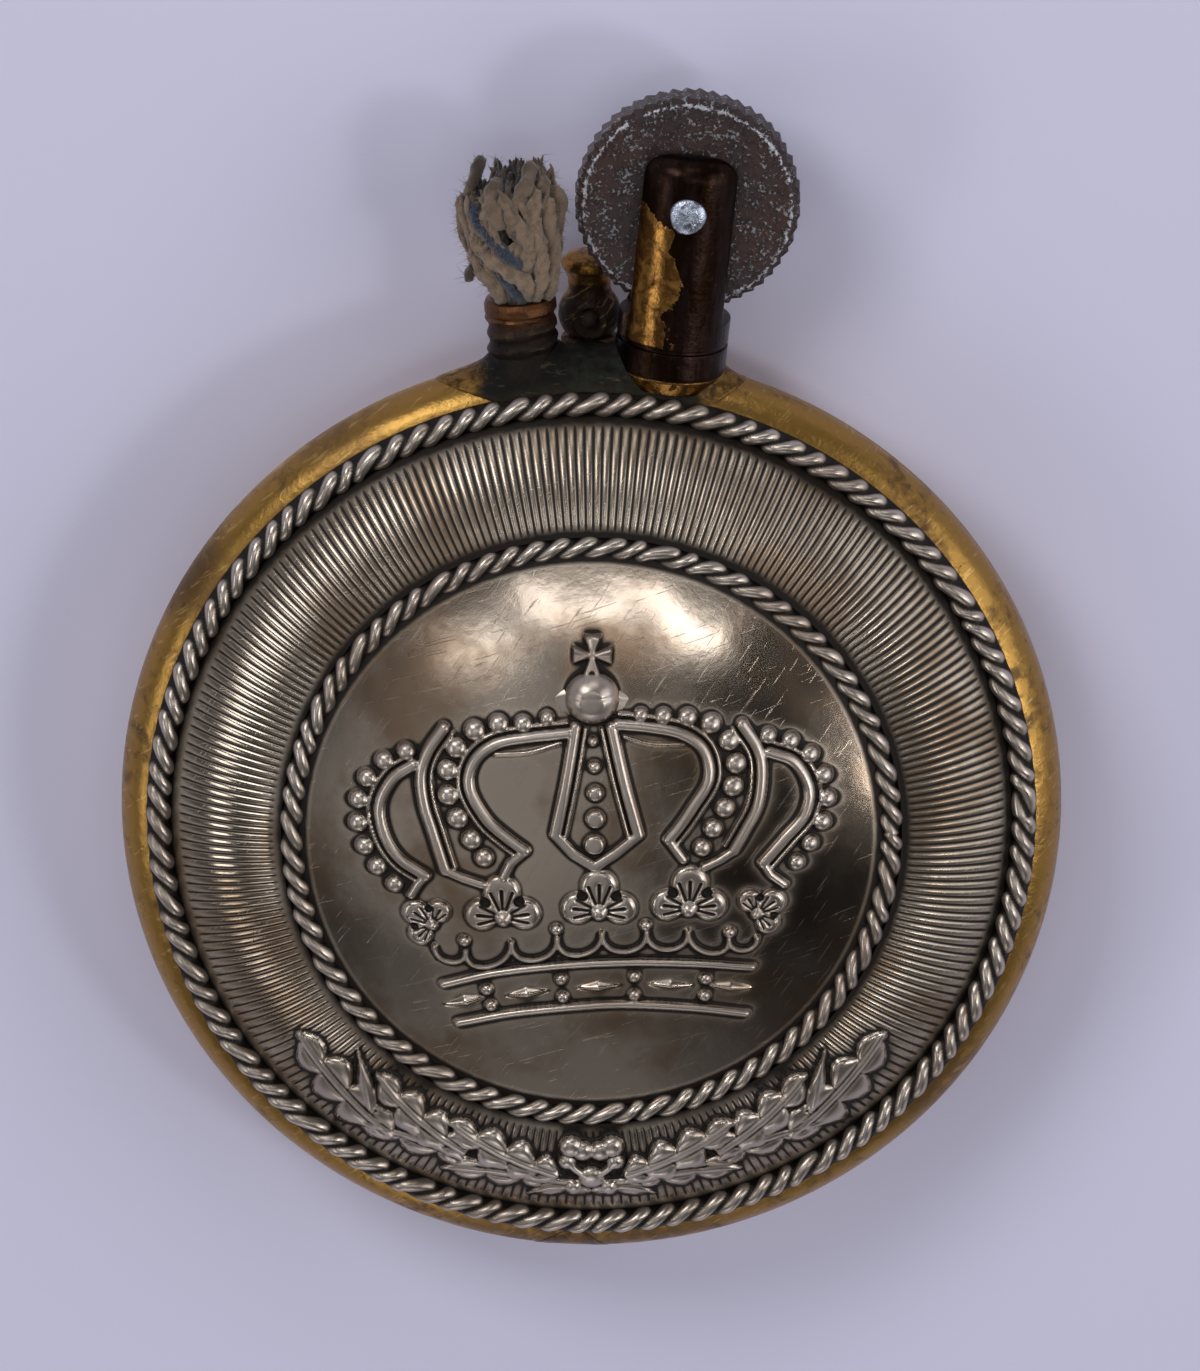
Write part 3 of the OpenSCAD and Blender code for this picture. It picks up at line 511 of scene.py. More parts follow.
# %% The dome with the crown
def dome_quarter(right, up):
    """A quarter of the dome, as heights over the disc, with the crown's relief added and what
    stood highest rubbed down to one level. It is worked out 14 rows past its two inner edges and
    then cut, so the averages agree where the quarters meet."""
    even = np.linspace(0, 1, 271)
    closer = 0.84 * even + 0.16 * even ** 4
    closer = np.concatenate([-closer[14:0:-1], closer])
    u, v = np.meshgrid(right * closer, up * closer, indexing="ij")
    reach = DOME_EDGE + 0.25
    x, z = reach * u * np.sqrt(1 - v ** 2 / 2), reach * v * np.sqrt(1 - u ** 2 / 2)
    r = np.hypot(x, z)
    f = DOME_TOP - DOME_R + np.sqrt(DOME_R ** 2 - r ** 2)
    h, grime_and_shade = crown_relief(x, z)
    soft = average(h, 1, times=1)
    f = f + soft + 0.012 * np.sin(0.9 * x + 2) * np.sin(0.7 * z + 1)
    f = np.where(f > WEAR_LEVEL - 0.06, WEAR_LEVEL - 0.06 * np.exp(-(f - WEAR_LEVEL + 0.06) / 0.06), f)
    f = np.where(r > DOME_EDGE, np.minimum(f, BAND_INNER_F), f)
    # hollow mark: the relief's hollows darken as grime and painted shade, and a ring at the edge under the
    # inner rope as painted shade
    deep = np.clip(hollow(soft, 3, 7) + 0.8 * grime_and_shade, 0, 1)
    deep = np.maximum(deep, np.clip((r - DOME_EDGE + 0.35) / 0.4, 0, 1) * 0.9)
    return plate_grid(np.stack([x, -f, z], axis=-1)[14:, 14:], np.array([0.0, 0.45, 0.0]),
                      {"hollow": deep[14:, 14:], "crest": np.clip(soft / 0.4, 0, 1)[14:, 14:]})


DOME_PARTS = [("dome_upper_left", -1, 1, ("front_medallion",)), ("dome_upper_right", 1, 1, ()),
              ("dome_lower_left", -1, -1, ()), ("dome_lower_right", 1, -1, ())]
SILVER_PIECES = [piece(part, dome_quarter(right, up), stands_for=solids)
                 for part, right, up, solids in DOME_PARTS]

# %% [markdown]
# ## The ribbed band and its oak sprays
# Between the two rope borders runs a bulging band, scored with fine ribs that point to the
# middle. Oak leaves cover its lower part. A leaf is drawn along its middle rib: its half width
# swells and shrinks in lobes, its surface is domed, and grooves follow the rib and the veins.

# %% Leaves on the band
RIBS = 277


def leaf(x, z, base, tip, bend, half, lobes=3, tall=0.5):
    """Height of an oak leaf. t runs from 0 at the base to 1 at the tip, s is the distance from
    the curved middle rib. Its half width is half sin(pi t^0.8)^0.5 (0.36 + 0.64 |sin|^0.75) with one
    arch of the sine for each round lobe, which leans towards the tip. A leaf is puffed up in its
    lobes, low between them, and has a raised middle rib."""
    (bx, bz), (ex, ez) = base, tip
    length = np.hypot(ex - bx, ez - bz)
    ux, uz = (ex - bx) / length, (ez - bz) / length
    t = ((x - bx) * ux + (z - bz) * uz) / length
    s = (z - bz) * ux - (x - bx) * uz - bend * length * 4 * t * (1 - t)
    inside = (t > -0.02) & (t < 1.04)
    tc = np.clip(t / 1.04, 0.0, 1.0)
    leaning = np.clip(tc - 0.22 * np.abs(s) / length + 0.035 * np.sign(s), 0, 1)
    lobe = np.abs(np.sin(pi * (lobes * leaning ** 0.9 + 0.15)))
    width = half * np.clip(np.sin(pi * tc ** 0.8), 1e-4, 1) ** 0.5 * (0.36 + 0.64 * lobe ** 0.75)
    q = np.abs(s) / np.maximum(width, 1e-3)
    puff = lobe ** 0.8 * np.minimum(1, 1.8 * np.abs(s) / half)
    body = tall * np.clip(1 - q ** 2.6, 0, 1) ** 0.5 * (0.66 + 0.34 * puff)
    rib = 0.12 * np.exp(-(s / 0.11) ** 2) - 0.08 * np.exp(-((np.abs(s) - 0.24) / 0.11) ** 2)
    body = body + np.where(q < 0.95, rib, 0)
    return np.where(inside & (q < 1), np.maximum(body, 0.08), 0)


def polar(angle, r):
    """The point (right, up) at an angle in degrees, from the right counter-clockwise."""
    return r * cos(radians(angle)), r * sin(radians(angle))


SPRAY = [
    ((239, 19.8), (217.0, 18.7), 0.04, 1.5, 4, 0.46), ((250, 19.2), (233.2, 20.3), -0.05, 1.1, 3, 0.40),
    ((250, 18.8), (230.6, 17.2), 0.05, 1.3, 4, 0.54), ((263, 19.4), (248.0, 20.2), -0.04, 0.95, 3, 0.46),
    ((265, 19.0), (245.5, 17.4), 0.05, 1.3, 4, 0.60), ((270, 19.9), (261.0, 20.4), -0.1, 0.6, 2, 0.4),
    ((233.5, 19.1), (225.0, 16.9), 0.0, 0.42, 1, 0.5),
]
KNOT_BEADS = [(-1.05, -17.15, 0.66), (-0.45, -17.4, 0.62), (0.45, -17.4, 0.62), (1.05, -17.15, 0.66),
              (-1.25, -18.05, 0.5), (1.25, -18.05, 0.5), (0.0, -19.05, 0.72), (-0.9, -19.75, 0.5),
              (0.9, -19.75, 0.5)]
KNOT_LOOP = [(-1.2, -18.1), (-0.6, -18.7), (0.0, -18.9), (0.6, -18.7), (1.2, -18.1)]


def band_relief(x, z, angle, r):
    """Ribs, and over them the two sprays, the right one a mirror of the left, and the knot of
    beads and a loop between them at the foot."""
    turn = RIBS * angle / 2
    groove = np.exp(-(np.sin(turn) / 0.42) ** 2)
    fade = np.clip((r - 16.25) / 0.3, 0, 1) * np.clip((21.2 - r) / 0.3, 0, 1)
    h = -0.1 * groove * fade
    leaves = np.zeros(x.shape)
    for base, tip, bend, half, lobes, tall in SPRAY:
        for flip in (1, -1):
            a, b = polar(*base), polar(*tip)
            m = (np.abs(x * flip - a[0]) < 9) & (z < -8)
            leaves[m] = np.maximum(leaves[m], leaf(flip * x[m], z[m], a, b, bend, half, lobes, tall))
    stem = [polar(a, 18.9 + 0.5 * sin(radians(3 * a))) for a in range(234, 272, 4)]
    for flip in (1, -1):
        raise_ridge(leaves, flip * x, z, stem, 0.2, 0.3)
    for px, pz, size in KNOT_BEADS:
        raise_bead(leaves, x, z, (px, pz), size, 0.55)
    raise_ridge(leaves, x, z, KNOT_LOOP, 0.24, 0.5)
    # shade: painted shade on the ribs round the leaves and in the rib grooves, and a painted shade that
    # darkens the band towards its upper right
    shade = np.maximum(average((leaves > 0.02).astype(float), 6) * 0.9, 0.55 * groove * fade)
    shade = shade + 0.28 * np.clip(np.cos(angle - radians(55)) + 0.55, 0, 1)
    return np.where(leaves > 0.02, leaves, h), leaves, shade


def band_part(start, stop):
    """One stretch of the band: across it the section is a circle's arc, closed below by the
    back of the sheet, and the rows of the grid follow the angle."""
    rows, cols = 1109, 72
    angle = np.linspace(radians(start), radians(stop), rows)[:, None]
    r = np.linspace(15.9, 21.6, cols)[None, :]
    arc_r, arc_at = 8.537, (15.306, 2.470)
    x, z = r * np.cos(angle), r * np.sin(angle)
    h, leaves, shade = band_relief(x, z, angle + 0 * r, r + 0 * angle)
    bulge = np.minimum(arc_at[1] + np.sqrt(arc_r ** 2 - (r - arc_at[0]) ** 2), BAND_INNER_F)
    f = bulge + average(h, 1, times=1)
    deep = np.clip(hollow(h, 2, 8) + np.where(leaves > 0.02, 0, 0.85 * shade), 0, 1)
    # painted shade along both edges of the band, next to the ropes
    shade_by_ropes = np.clip(np.maximum(16.6 - r, r - 20.9) / 0.7, 0, 1)
    deep = np.clip(deep + shade_by_ropes * np.where(leaves > 0.02, 0.1, 0.7), 0, 1)
    top = np.stack([x, -f, z], axis=-1)
    back = [top[:, -1] + [0, 0.45, 0], top[:, 0] + [0, 0.45, 0]]
    ring = np.concatenate([top, np.stack(back, axis=1)], axis=1)
    two_more = [(0, 0), (0, 2)]
    marks = {"hollow": np.pad(deep, two_more), "crest": np.pad(np.clip(h / 0.45, 0, 1), two_more)}
    return ring_grid(ring, False, marks)


SILVER_PIECES += [piece("band_upper", band_part(0, 180)),
                  piece("band_lower", band_part(180, 360))]

# %% [markdown]
# ## The rope borders
# A rope is a ring whose section swells and shrinks along each strand. The strand that a point
# belongs to depends on its angle round the ring and on how far it lies across the rope, so the
# grooves run slanting: q is 0 on a strand's crest and 1 in the groove beside it.

# %% Rope borders
def rope(strands, at, half, lean, per_strand=10, seed=0):
    """point = middle circle + half k (sin b outwards, cos b forwards). On the front of the rope
    k = 1 - 0.45 q^1.9 and q = |2 frac(p) - 1| with p = strands (angle - lean across) / 360."""
    rows, cols = strands * per_strand, 26
    a = np.linspace(0, 360, rows, endpoint=False)[:, None]
    b = np.linspace(-pi, pi, cols, endpoint=False)[None, :]
    dice = np.random.default_rng(seed)
    uneven = np.interp(a, np.linspace(0, 360, strands), 0.1 * dice.normal(size=strands))
    p = strands * (a - lean * (0.5 - 0.5 * np.sin(b))) / 360 + uneven
    q = np.abs(2 * (p - np.floor(p)) - 1)
    front = np.clip(np.cos(b) * 3 + 0.6, 0, 1)
    k = 1 - front * 0.45 * q ** 1.9
    out, forth = at[0] + half * k * np.sin(b), at[1] + half * k * np.cos(b)
    a = np.radians(a)
    points = np.stack([out * np.cos(a), -forth, out * np.sin(a)], axis=-1)
    # hollow: painted shade in the grooves between the strands on the front, with some grime, and on the sides
    # and back of the rope, where it meets the sheet
    deep = np.clip(1.1 * q ** 2.6 * front + np.clip(0.75 - np.cos(b), 0, 1) ** 1.5, 0, 1)
    return ring_grid(points, True, {"hollow": deep, "crest": (1 - q) * front})


ROPES = [("rope_outer", rope(107, (22.175, 8.172), 0.66, 3.2, seed=3)),
         ("rope_inner", rope(74, (15.375, 10.822), 0.60, 4.6, 12, seed=4))]
SILVER_PIECES += [piece(part, shape, crisp=75) for part, shape in ROPES]

# %% [markdown]
# ## The brass tank
# The tank is two spun brass shells soldered together at the rim. Each is a profile turned
# round the short axis of the tank: outside first, then back along the inside, so that the
# wall has a real thickness. Slow waves in the radius are the small dents of a carried thing.

# %% Tank shells
def arc(at, radius, start, stop, n):
    """Points on a circle: at + radius (cos t, sin t) for t from start to stop, in degrees."""
    t = np.radians(np.linspace(start, stop, n))
    return np.stack([at[0] + radius * np.cos(t), at[1] + radius * np.sin(t)], axis=1)


def shell(outside, wall):
    """The outside profile, and the same one moved inwards by the wall for the way back."""
    d = np.gradient(outside, axis=0)
    d /= np.linalg.norm(d, axis=1)[:, None]
    inside = outside + wall * np.stack([-d[:, 1], d[:, 0]], axis=1)
    inside[:, 0] = np.maximum(inside[:, 0], 0)
    return np.concatenate([outside, inside[::-1]])


TO_FRONT = np.array([0.0, -1.0, 0.0])
DISC_R = 21.7
disc = np.linspace(0, DISC_R, 40)
bead = (BEAD_AT, BEAD_F)
back_outside = np.concatenate([np.stack([disc[:20] / 1.01, np.zeros(20)], axis=1),
                               arc((11, 17.57), 17.57, -90, -51.4, 60),
                               arc(bead, BEAD_R - 0.03, -84, -3, 40)])
back_outside[:, 1] = np.maximum(back_outside[:, 1], 0.0)
front_bulge = 7.9 + 1.9 * (1 - (disc[::-1] / DISC_R) ** 2)
front_outside = np.concatenate([arc(bead, BEAD_R - 0.03, -1.5, 86, 44),
                                np.stack([disc[::-1], front_bulge], axis=1)])


def tank_half(name, outside, solid, seed):
    """Turns one shell round the short axis of the tank."""
    half = turned(shell(outside, SHEET), (0, 0, 0), TO_FRONT, 320, wobble=0.012, seed=seed)
    return piece(name, half, stands_for=(solid,))


tank_back = tank_half("tank_back", back_outside, "tank_rear_shell", 5)
tank_front = tank_half("tank_front", front_outside, "tank_front_shell", 6)

# %% [markdown]
# ## The saddle
# A thin plate bent over the rim carries the tubes. Its outside is part of a ring surface: a
# small circle carried along a larger one. Solder has crept up round the foot of each tube, so
# the plate rises there as exp(-distance / 0.34).

# %% Saddle plate
SOLDER = 0.42
TUBE_FEET = [(POST_AT, POST_UP, 2.75), (WICK_AT, WICK_UP, 1.85),
             (np.array([PLUG_X, PLUG_Y, 24.0]), Z_UP, 1.4)]


def saddle():
    """point = middle + (17.10 + 2.3 cos b) (sin t, cos t) across and up, and 2.3 sin b in depth."""
    side = np.linspace(-1, 1, 90)[None, :]
    share = np.linspace(-1, 1, 240)[:, None]
    t = np.radians(24.1) * share * (1 - np.where(share < 0, 0.36, 0.22) * np.clip(-side, 0, 1) ** 1.5)
    dice = np.random.default_rng(7)
    ragged = sum(dice.normal() * np.sin(k * t * 9 + dice.uniform(0, 6)) / k for k in range(1, 9))
    b = np.radians(72 * side) * (1 + 0.018 * ragged * np.abs(side))
    k = 17.10 + 2.30 * np.cos(b) + 0.015 * np.sin(26 * t + 3 * b)
    points = np.stack([k * np.sin(t), -6 + 2.30 * np.sin(b) + 0 * t, 5.09 + k * np.cos(t)], axis=-1)
    lift = np.zeros(points.shape[:2])
    for at, up, radius in TUBE_FEET:
        d = points - at
        d = np.linalg.norm(d - (d @ up)[..., None] * up, axis=-1)
        lift = np.maximum(lift, SOLDER * np.exp(-np.clip(d - radius, 0, None) / 0.34))
    away = np.minimum(1, (1 - np.abs(side)) * 6) * np.minimum(1, 12 * (1 - np.abs(share)))
    points[..., 2] += lift * away
    return plate_grid(points, np.array([0.0, 0.0, -0.12]), {"solder": lift / SOLDER, "edge": 1 - away})


saddle_plate = piece("saddle", saddle(), stands_for=("saddle_plate",))

# %% [markdown]
# ## Threads
# On a thread the distance from the axis depends on the height less the turn, so one formula
# on a turned piece cuts it: each full turn of the angle moves the groove up by one pitch.

# %% Threads and the wick tube
def push(shape, at, axis, amount):
    """Moves points straight away from an axis by an amount that is a function of
    (distance from the axis, height along it, angle round it), and returns that amount."""
    axis = np.asarray(axis)
    side1, side2 = across(axis)
    d = shape.points - np.asarray(at)
    h = d @ axis
    out = d - h[:, None] * axis
    r = np.linalg.norm(out, axis=1)
    moved = amount(r, h, np.arctan2(out @ side2, out @ side1))
    shape.points = shape.points + out / np.maximum(r, 1e-6)[:, None] * moved[:, None]
    return moved


def thread(radius, pitch, depth, low, high):
    """depth (0.5 + 0.5 sin(2 pi (h / pitch - a / 2 pi)))^1.4 outside a radius, between two
    heights."""
    def amount(r, h, a):
        part = np.clip((h - low) / 0.15, 0, 1) * np.clip((high - h) / 0.15, 0, 1) * (r > radius - 0.02)
        uneven = 0.8 + 0.2 * np.sin(3 * a + 5 * h)
        return depth * part * uneven * (0.5 + 0.5 * np.sin(2 * pi * h / pitch - a)) ** 1.4
    return amount


CAP_THREAD = 0.19
tube_side = finer([(1.70, -3.6), (1.70, 2.25), (1.86, 2.45), (1.86, 2.85), (1.74, 3.1)], 0.06)
tube_profile = np.concatenate([tube_side, [(1.5, 3.14), (1.34, 3.1), (1.3, 3.0), (1.3, -3.6)]])
wick_pipe = turned(tube_profile, WICK_AT, WICK_UP, 160, wrap_rows=True, wobble=0.01, seed=8)
cap_thread = thread(1.69, 0.85, CAP_THREAD, 0.1, 2.35)
wick_pipe.marks["crest"] = push(wick_pipe, WICK_AT, WICK_UP, cap_thread) / CAP_THREAD
wick_tube = piece("wick_pipe", wick_pipe, stands_for=("wick_tube",))
foot = soften([(1.72, -1.6), (2.15, -1.6), (2.02, -0.6), (1.71, 0.2)], 0.3)
wick_foot = piece("wick_foot", turned(foot, WICK_AT, WICK_UP, 120, True, 0.015, 9),
                  stands_for=("wick_collar",))

# %% [markdown]
# ## The filler
# Behind the tubes a plug closes the filling hole. It is turned in one piece: a threaded shank,
# a ball, a stem and a domed button. The ball is spot-faced in front and drilled for a pin, so
# its points inside a circle are moved straight back to the floor of the hole.

# %% Filler plug, washer, neck and pin
PLUG_AT = np.array([PLUG_X, PLUG_Y, 0.0])
BALL_Z, BALL_R = 25.466, 1.6


def spot_faced(shape):
    """In front, points nearer than 0.88 to the sight line move back to y = -1.04; behind,
    points nearer than 0.5 move forward to y = +1.04, both measured from the middle of the ball."""
    d = shape.points - PLUG_AT - BALL_Z * Z_UP
    near_front = np.hypot(d[:, 0], d[:, 2] + 0.19) < 0.88
    near_back = np.hypot(d[:, 0], d[:, 2]) < 0.5
    y = np.where(near_front & (d[:, 1] < -1.04), -1.04, d[:, 1])
    y = np.where(near_back & (y > 1.04), 1.04, y)
    shape.marks["recess"] = (np.abs(y - d[:, 1]) > 1e-6).astype(float)
    shape.points[:, 1] += y - d[:, 1]
    return shape


ball = arc((0, BALL_Z), BALL_R, -49.5, 41.0, 110)
shank = finer([(0.95, 20.65), (0.95, 24.24), (1.03, 24.25)], 0.06)
top = [(1.18, 26.55), (1.08, 26.85), (1.12, 27.4), (1.3, 27.8), (1.42, 27.92), (1.45, 28.05), (1.45, 28.28),
       (1.37, 28.40), (1.13, 28.60), (0.75, 28.71), (0.35, 28.755), (0.0, 28.766)]
plug_side = np.concatenate([shank, ball, soften(finer(top, 0.2), 0.04, 2)])
plug_shape = spot_faced(turned(plug_side, PLUG_AT, Z_UP, 180))


def plug_thread(r, h, a):
    """0.1 (0.5 + 0.5 sin(2 pi h / 0.5 - a)) inwards, on the shank."""
    return -0.1 * (h < 23.9) * (r > 0.9) * (0.5 + 0.5 * np.sin(2 * pi * h / 0.5 - a))


push(plug_shape, PLUG_AT, Z_UP, plug_thread)
filler = piece("filler_screw", plug_shape, "filler_plug",
               stands_for=("filler_plug",), crisp=40)
pin_side = [(0.0, 1.2 - 2.24), (0.47, -1.04), (0.5, -1.0), (0.5, 1.1)]
pin = np.concatenate([pin_side, arc((0, 1.2), 0.5, 0, 90, 16)])
pin_shape = turned(finer(pin, 0.1), PLUG_AT + BALL_Z * Z_UP, TO_FRONT, 64, wobble=0.008, seed=3)
cross_pin = piece("filler_pin", pin_shape, "filler_plug",
                  stands_for=("filler_cross_pin",))
leather = soften([(0.98, 23.85), (1.45, 23.86), (1.45, 24.24), (0.98, 24.25)], 0.12)
washer = piece("filler_leather", turned(leather, PLUG_AT, Z_UP, 96, True, 0.02, 4), "filler_washer",
               stands_for=("filler_washer",))
neck_ring = soften([(0.98, 17.44), (1.4, 17.44), (1.45, 17.5), (1.45, 23.8), (1.4, 23.85),
                    (0.98, 23.85)], 0.05)
neck = piece("filler_pipe", turned(neck_ring, PLUG_AT, Z_UP, 96, True, 0.006, 2),
             stands_for=("filler_neck",))
print("ball of", 2 * BALL_R, "mm, top of the button", top[-1][1], "mm up")

# %% [markdown]
# ## The striker post
# A thick round post is sawn down its middle for the wheel, which leaves two cheeks. Across, a
# cheek is the part of a circle beyond a wall, with its corners worn round. Walking round it by
# the direction that the surface faces gives all four parts at once: where that direction lies
# on the circle's side the point is on the circle, and elsewhere it turns about a corner.

# %% Half-round bars
def lean(up):
    """The direction across a leaning axis that stays in the plane of the picture."""
    return np.array([up[2], 0.0, -up[0]])


def half_round(at, up, side, wall, heights, radius, corner):
    """Each row is a section: centre + corner (cos n, sin n), where the centre is
    (radius - corner) (cos n, sin n) while |n| < limit, and stays at the limit beyond it."""
    s = np.concatenate([np.linspace(-1, 1, 49), np.linspace(1, 2, 9)[1:], np.linspace(-2, -1, 9)[:-1]])
    s = s[None, :]
    r, c = np.asarray(radius)[:, None], np.asarray(corner)[:, None]
    limit = np.arccos(np.clip((wall + c) / (r - c), -1, 1))
    far = np.sign(s) * (limit + (pi - limit) * (np.abs(s) - 1))
    n = np.where(np.abs(s) <= 1, limit * s, far)
    held = np.clip(n, -limit, limit)
    out = (r - c) * np.cos(held) + c * np.cos(n)
    along = (r - c) * np.sin(held) + c * np.sin(n)
    points = (at + np.asarray(heights)[:, None, None] * up + side * out[..., None] * Y_BACK
              + along[..., None] * lean(up))
    return ring_grid(points, False, {"up": np.broadcast_to(np.asarray(heights)[:, None], out.shape)})


def cheek(side):
    """A cheek of the post from the groove to the rounded top, whose radius is
    1.77 + sqrt(1.1^2 - (h - 10.1)^2) above the height h = 10.1."""
    h = np.concatenate([np.linspace(1.08, 2.5, 14), np.linspace(2.6, 10.05, 60),
                        10.1 + 1.1 * np.sin(np.radians(np.linspace(2, 90, 20)))])
    r = np.where(h < 10.1, 2.87, 1.77 + np.sqrt(np.maximum(0, 1.21 - (h - 10.1) ** 2)))
    c = 0.02 + 0.12 * np.clip((h - 2.28) / 0.2, 0, 1)
    return half_round(POST_AT, POST_UP, side, 1.4, h, r, c)


post_foot = soften([(2.32, -0.6), (2.87, -0.6), (2.87, 0.82), (2.73, 0.84), (2.73, 1.06), (2.87, 1.08),
                    (2.86, 1.16), (2.86, 2.28), (1.36, 2.28), (1.36, 1.25), (1.76, 1.25), (1.76, 0.5),
                    (2.32, 0.5)], 0.035, 3)
post_shape = cheek(-1) + cheek(1) + turned(finer(post_foot, 0.15), POST_AT, POST_UP, 200, True)
post = piece("striker_cheeks", post_shape, stands_for=("striker_post",), crisp=40)
ferrule_ring = soften([(1.76, -1.45), (2.52, -1.45), (2.84, -0.72), (2.84, -0.6), (2.3, -0.58),
                       (2.3, 0.49), (1.76, 0.49)], 0.05, 3)
ferrule = piece("striker_ferrule", turned(finer(ferrule_ring, 0.1), POST_AT, POST_UP, 200, True, 0.008, 12),
                stands_for=("striker_collar",))

# %% [markdown]
# ## The striker wheel
# The wheel is hard steel with a saw edge that scrapes the flint. Its section is a closed ring
# of points turned round the axle, and near the rim the radius drops along each tooth: quickly
# on the short flank and slowly on the long one. Rust has eaten shallow pits into it.

# %% Striker wheel
TEETH, TOOTH, FACE_R = 52, 0.2, 5.36


def saw_edge(shape):
    """Takes 0.2 mm saw(52 a / 2 pi) off the radius where it is near 5.79, with rust pits."""
    d = shape.points - WHEEL_AT
    across_x, up = d @ lean(POST_UP), d @ POST_UP
    r, a = np.hypot(across_x, up), np.arctan2(up, across_x)
    turn = (a * TEETH / (2 * pi)) % 1.0
    saw = np.where(turn < 0.3, turn / 0.3, (1 - turn) / 0.7)
    dice = np.random.default_rng(21)
    tooth = np.floor(a * TEETH / (2 * pi)).astype(int) % TEETH
    cut = (TOOTH + dice.uniform(-0.06, 0.0, TEETH)[tooth]) * saw + dice.uniform(0, 0.06, TEETH)[tooth]
    rim = np.clip((r - 5.2) / 0.42, 0, 1)
    k = 1 - cut * rim / np.maximum(r, 1e-6)
    middle = (d @ Y_BACK)[:, None] * Y_BACK
    shape.points = WHEEL_AT + middle + (d - middle) * k[:, None]
    face = np.abs(d[:, 1])
    shape.marks["rim"] = np.exp(-((FACE_R - r) / 0.13) ** 2) * (face > 0.9)
    shape.marks["tooth"] = np.clip((r - FACE_R) / 0.12, 0, 1) * (0.35 + 0.65 * (1 - saw))
    return shape


half_wheel = [(0.74, 1.3), (1.6, 1.3), (1.7, 1.22), (1.72, 1.06), (1.9, 1.05), (FACE_R, 1.05),
              (5.44, 1.02), (5.79, 0.74)]
other_half = [(r, -h) for r, h in half_wheel[::-1]]
wheel_section = np.concatenate([finer(half_wheel[:5], 0.15), finer(half_wheel[4:] + other_half[:4], 0.12)[1:],
                                finer(other_half[3:], 0.15)[1:]])
wheel_shape = saw_edge(turned(wheel_section, WHEEL_AT, Y_BACK, TEETH * 10, True))
wheel = piece("spark_wheel", wheel_shape, "wheel",
              stands_for=("striker_wheel",), crisp=32)

head_top = [(0.94 * cos(radians(a)), 0.5 * (0.4 + 0.6 * sin(radians(a)))) for a in range(10, 91, 8)]
head = np.concatenate([soften([(0.7, -0.3), (0.94, -0.25), (0.94, 0.2)], 0.05, 2), head_top])
axle_side = np.concatenate([[(0.0, -3.16)], [(r, -2.66 - h) for r, h in head[::-1]][1:],
                            [(0.7, -2.3), (0.7, 2.3)], [(r, 2.66 + h) for r, h in head]])
axle = piece("wheel_pin", turned(axle_side, WHEEL_AT, Y_BACK, 80, wobble=0.03, seed=14),
             stands_for=("wheel_axle",))

# %% [markdown]
# ## Opposite the post
# The flint tube runs right through the tank. On the far side it ends in a threaded bush, filed
# flush with the rim, and a slotted screw that holds the spring. The end of the bush follows
# the rim, so its height comes from where a line along the tube meets that ring surface.

# %% Bush and spring screw
def rim_height(x, y):
    """The height s at which POST_AT + x, y + s up is 22.10 + sqrt(2.05^2 - y^2) from the middle
    of the tank: the lower root of s^2 + 2 s A.up + A.A - that distance squared = 0."""
    reach = BEAD_AT + np.sqrt(np.maximum(0, BEAD_R ** 2 - y ** 2))
    flat_at = POST_AT * (1, 0, 1) + x[..., None] * lean(POST_UP)
    half = flat_at @ POST_UP
    return -half - np.sqrt(half ** 2 - (flat_at ** 2).sum(-1) + reach ** 2)


def bush():
    """Rows run out along the end face, up the outside and down the bore."""
    a = np.linspace(0, 2 * pi, 120, endpoint=False)[None, :]
    r = np.concatenate([np.linspace(1.36, 1.95, 12), [1.97, 1.97, 1.36, 1.36]])[:, None]
    x, y = r * np.cos(a), r * np.sin(a)
    s = rim_height(x, y) + 0.0 * a
    s[12:15] = np.array([-47.0, -44.1, -44.1])[:, None]
    s[15] = s[0] + 0.3
    points = POST_AT + x[..., None] * lean(POST_UP) + y[..., None] * Y_BACK + s[..., None] * POST_UP
    return ring_grid(points, True)


def screw():
    """Two half-round bars beside the slot, the body above them and the guide for the spring."""
    h = np.linspace(-48.02, -47.2, 8)
    bars = [half_round(POST_AT, POST_UP, side, 0.25, h, np.full(8, 1.31), np.full(8, 0.05))
            for side in (-1, 1)]
    body_side = soften([(0.0, -47.32), (1.31, -47.32), (1.31, -45.02), (0.63, -45.0), (0.63, -41.6),
                        (0.5, -41.52), (0.0, -41.52)], 0.04)
    return bars[0] + bars[1] + turned(body_side, POST_AT, POST_UP, 96)


bush_piece = piece("end_bush", bush(), stands_for=("spring_screw_bush",))
screw_piece = piece("slotted_screw", screw(), "spring_screw",
                    stands_for=("spring_screw",), crisp=40)
print("bush meets the rim", round(float(rim_height(np.zeros(1), np.zeros(1))[0]), 2), "mm along the tube")

# %% [markdown]
# ## Inside the tank
# A tube holds the flint, a headed rod and a spring; cotton round it keeps the petrol. None of
# it shows, but the lighter is made as the real one is, so each piece gets its own form too.

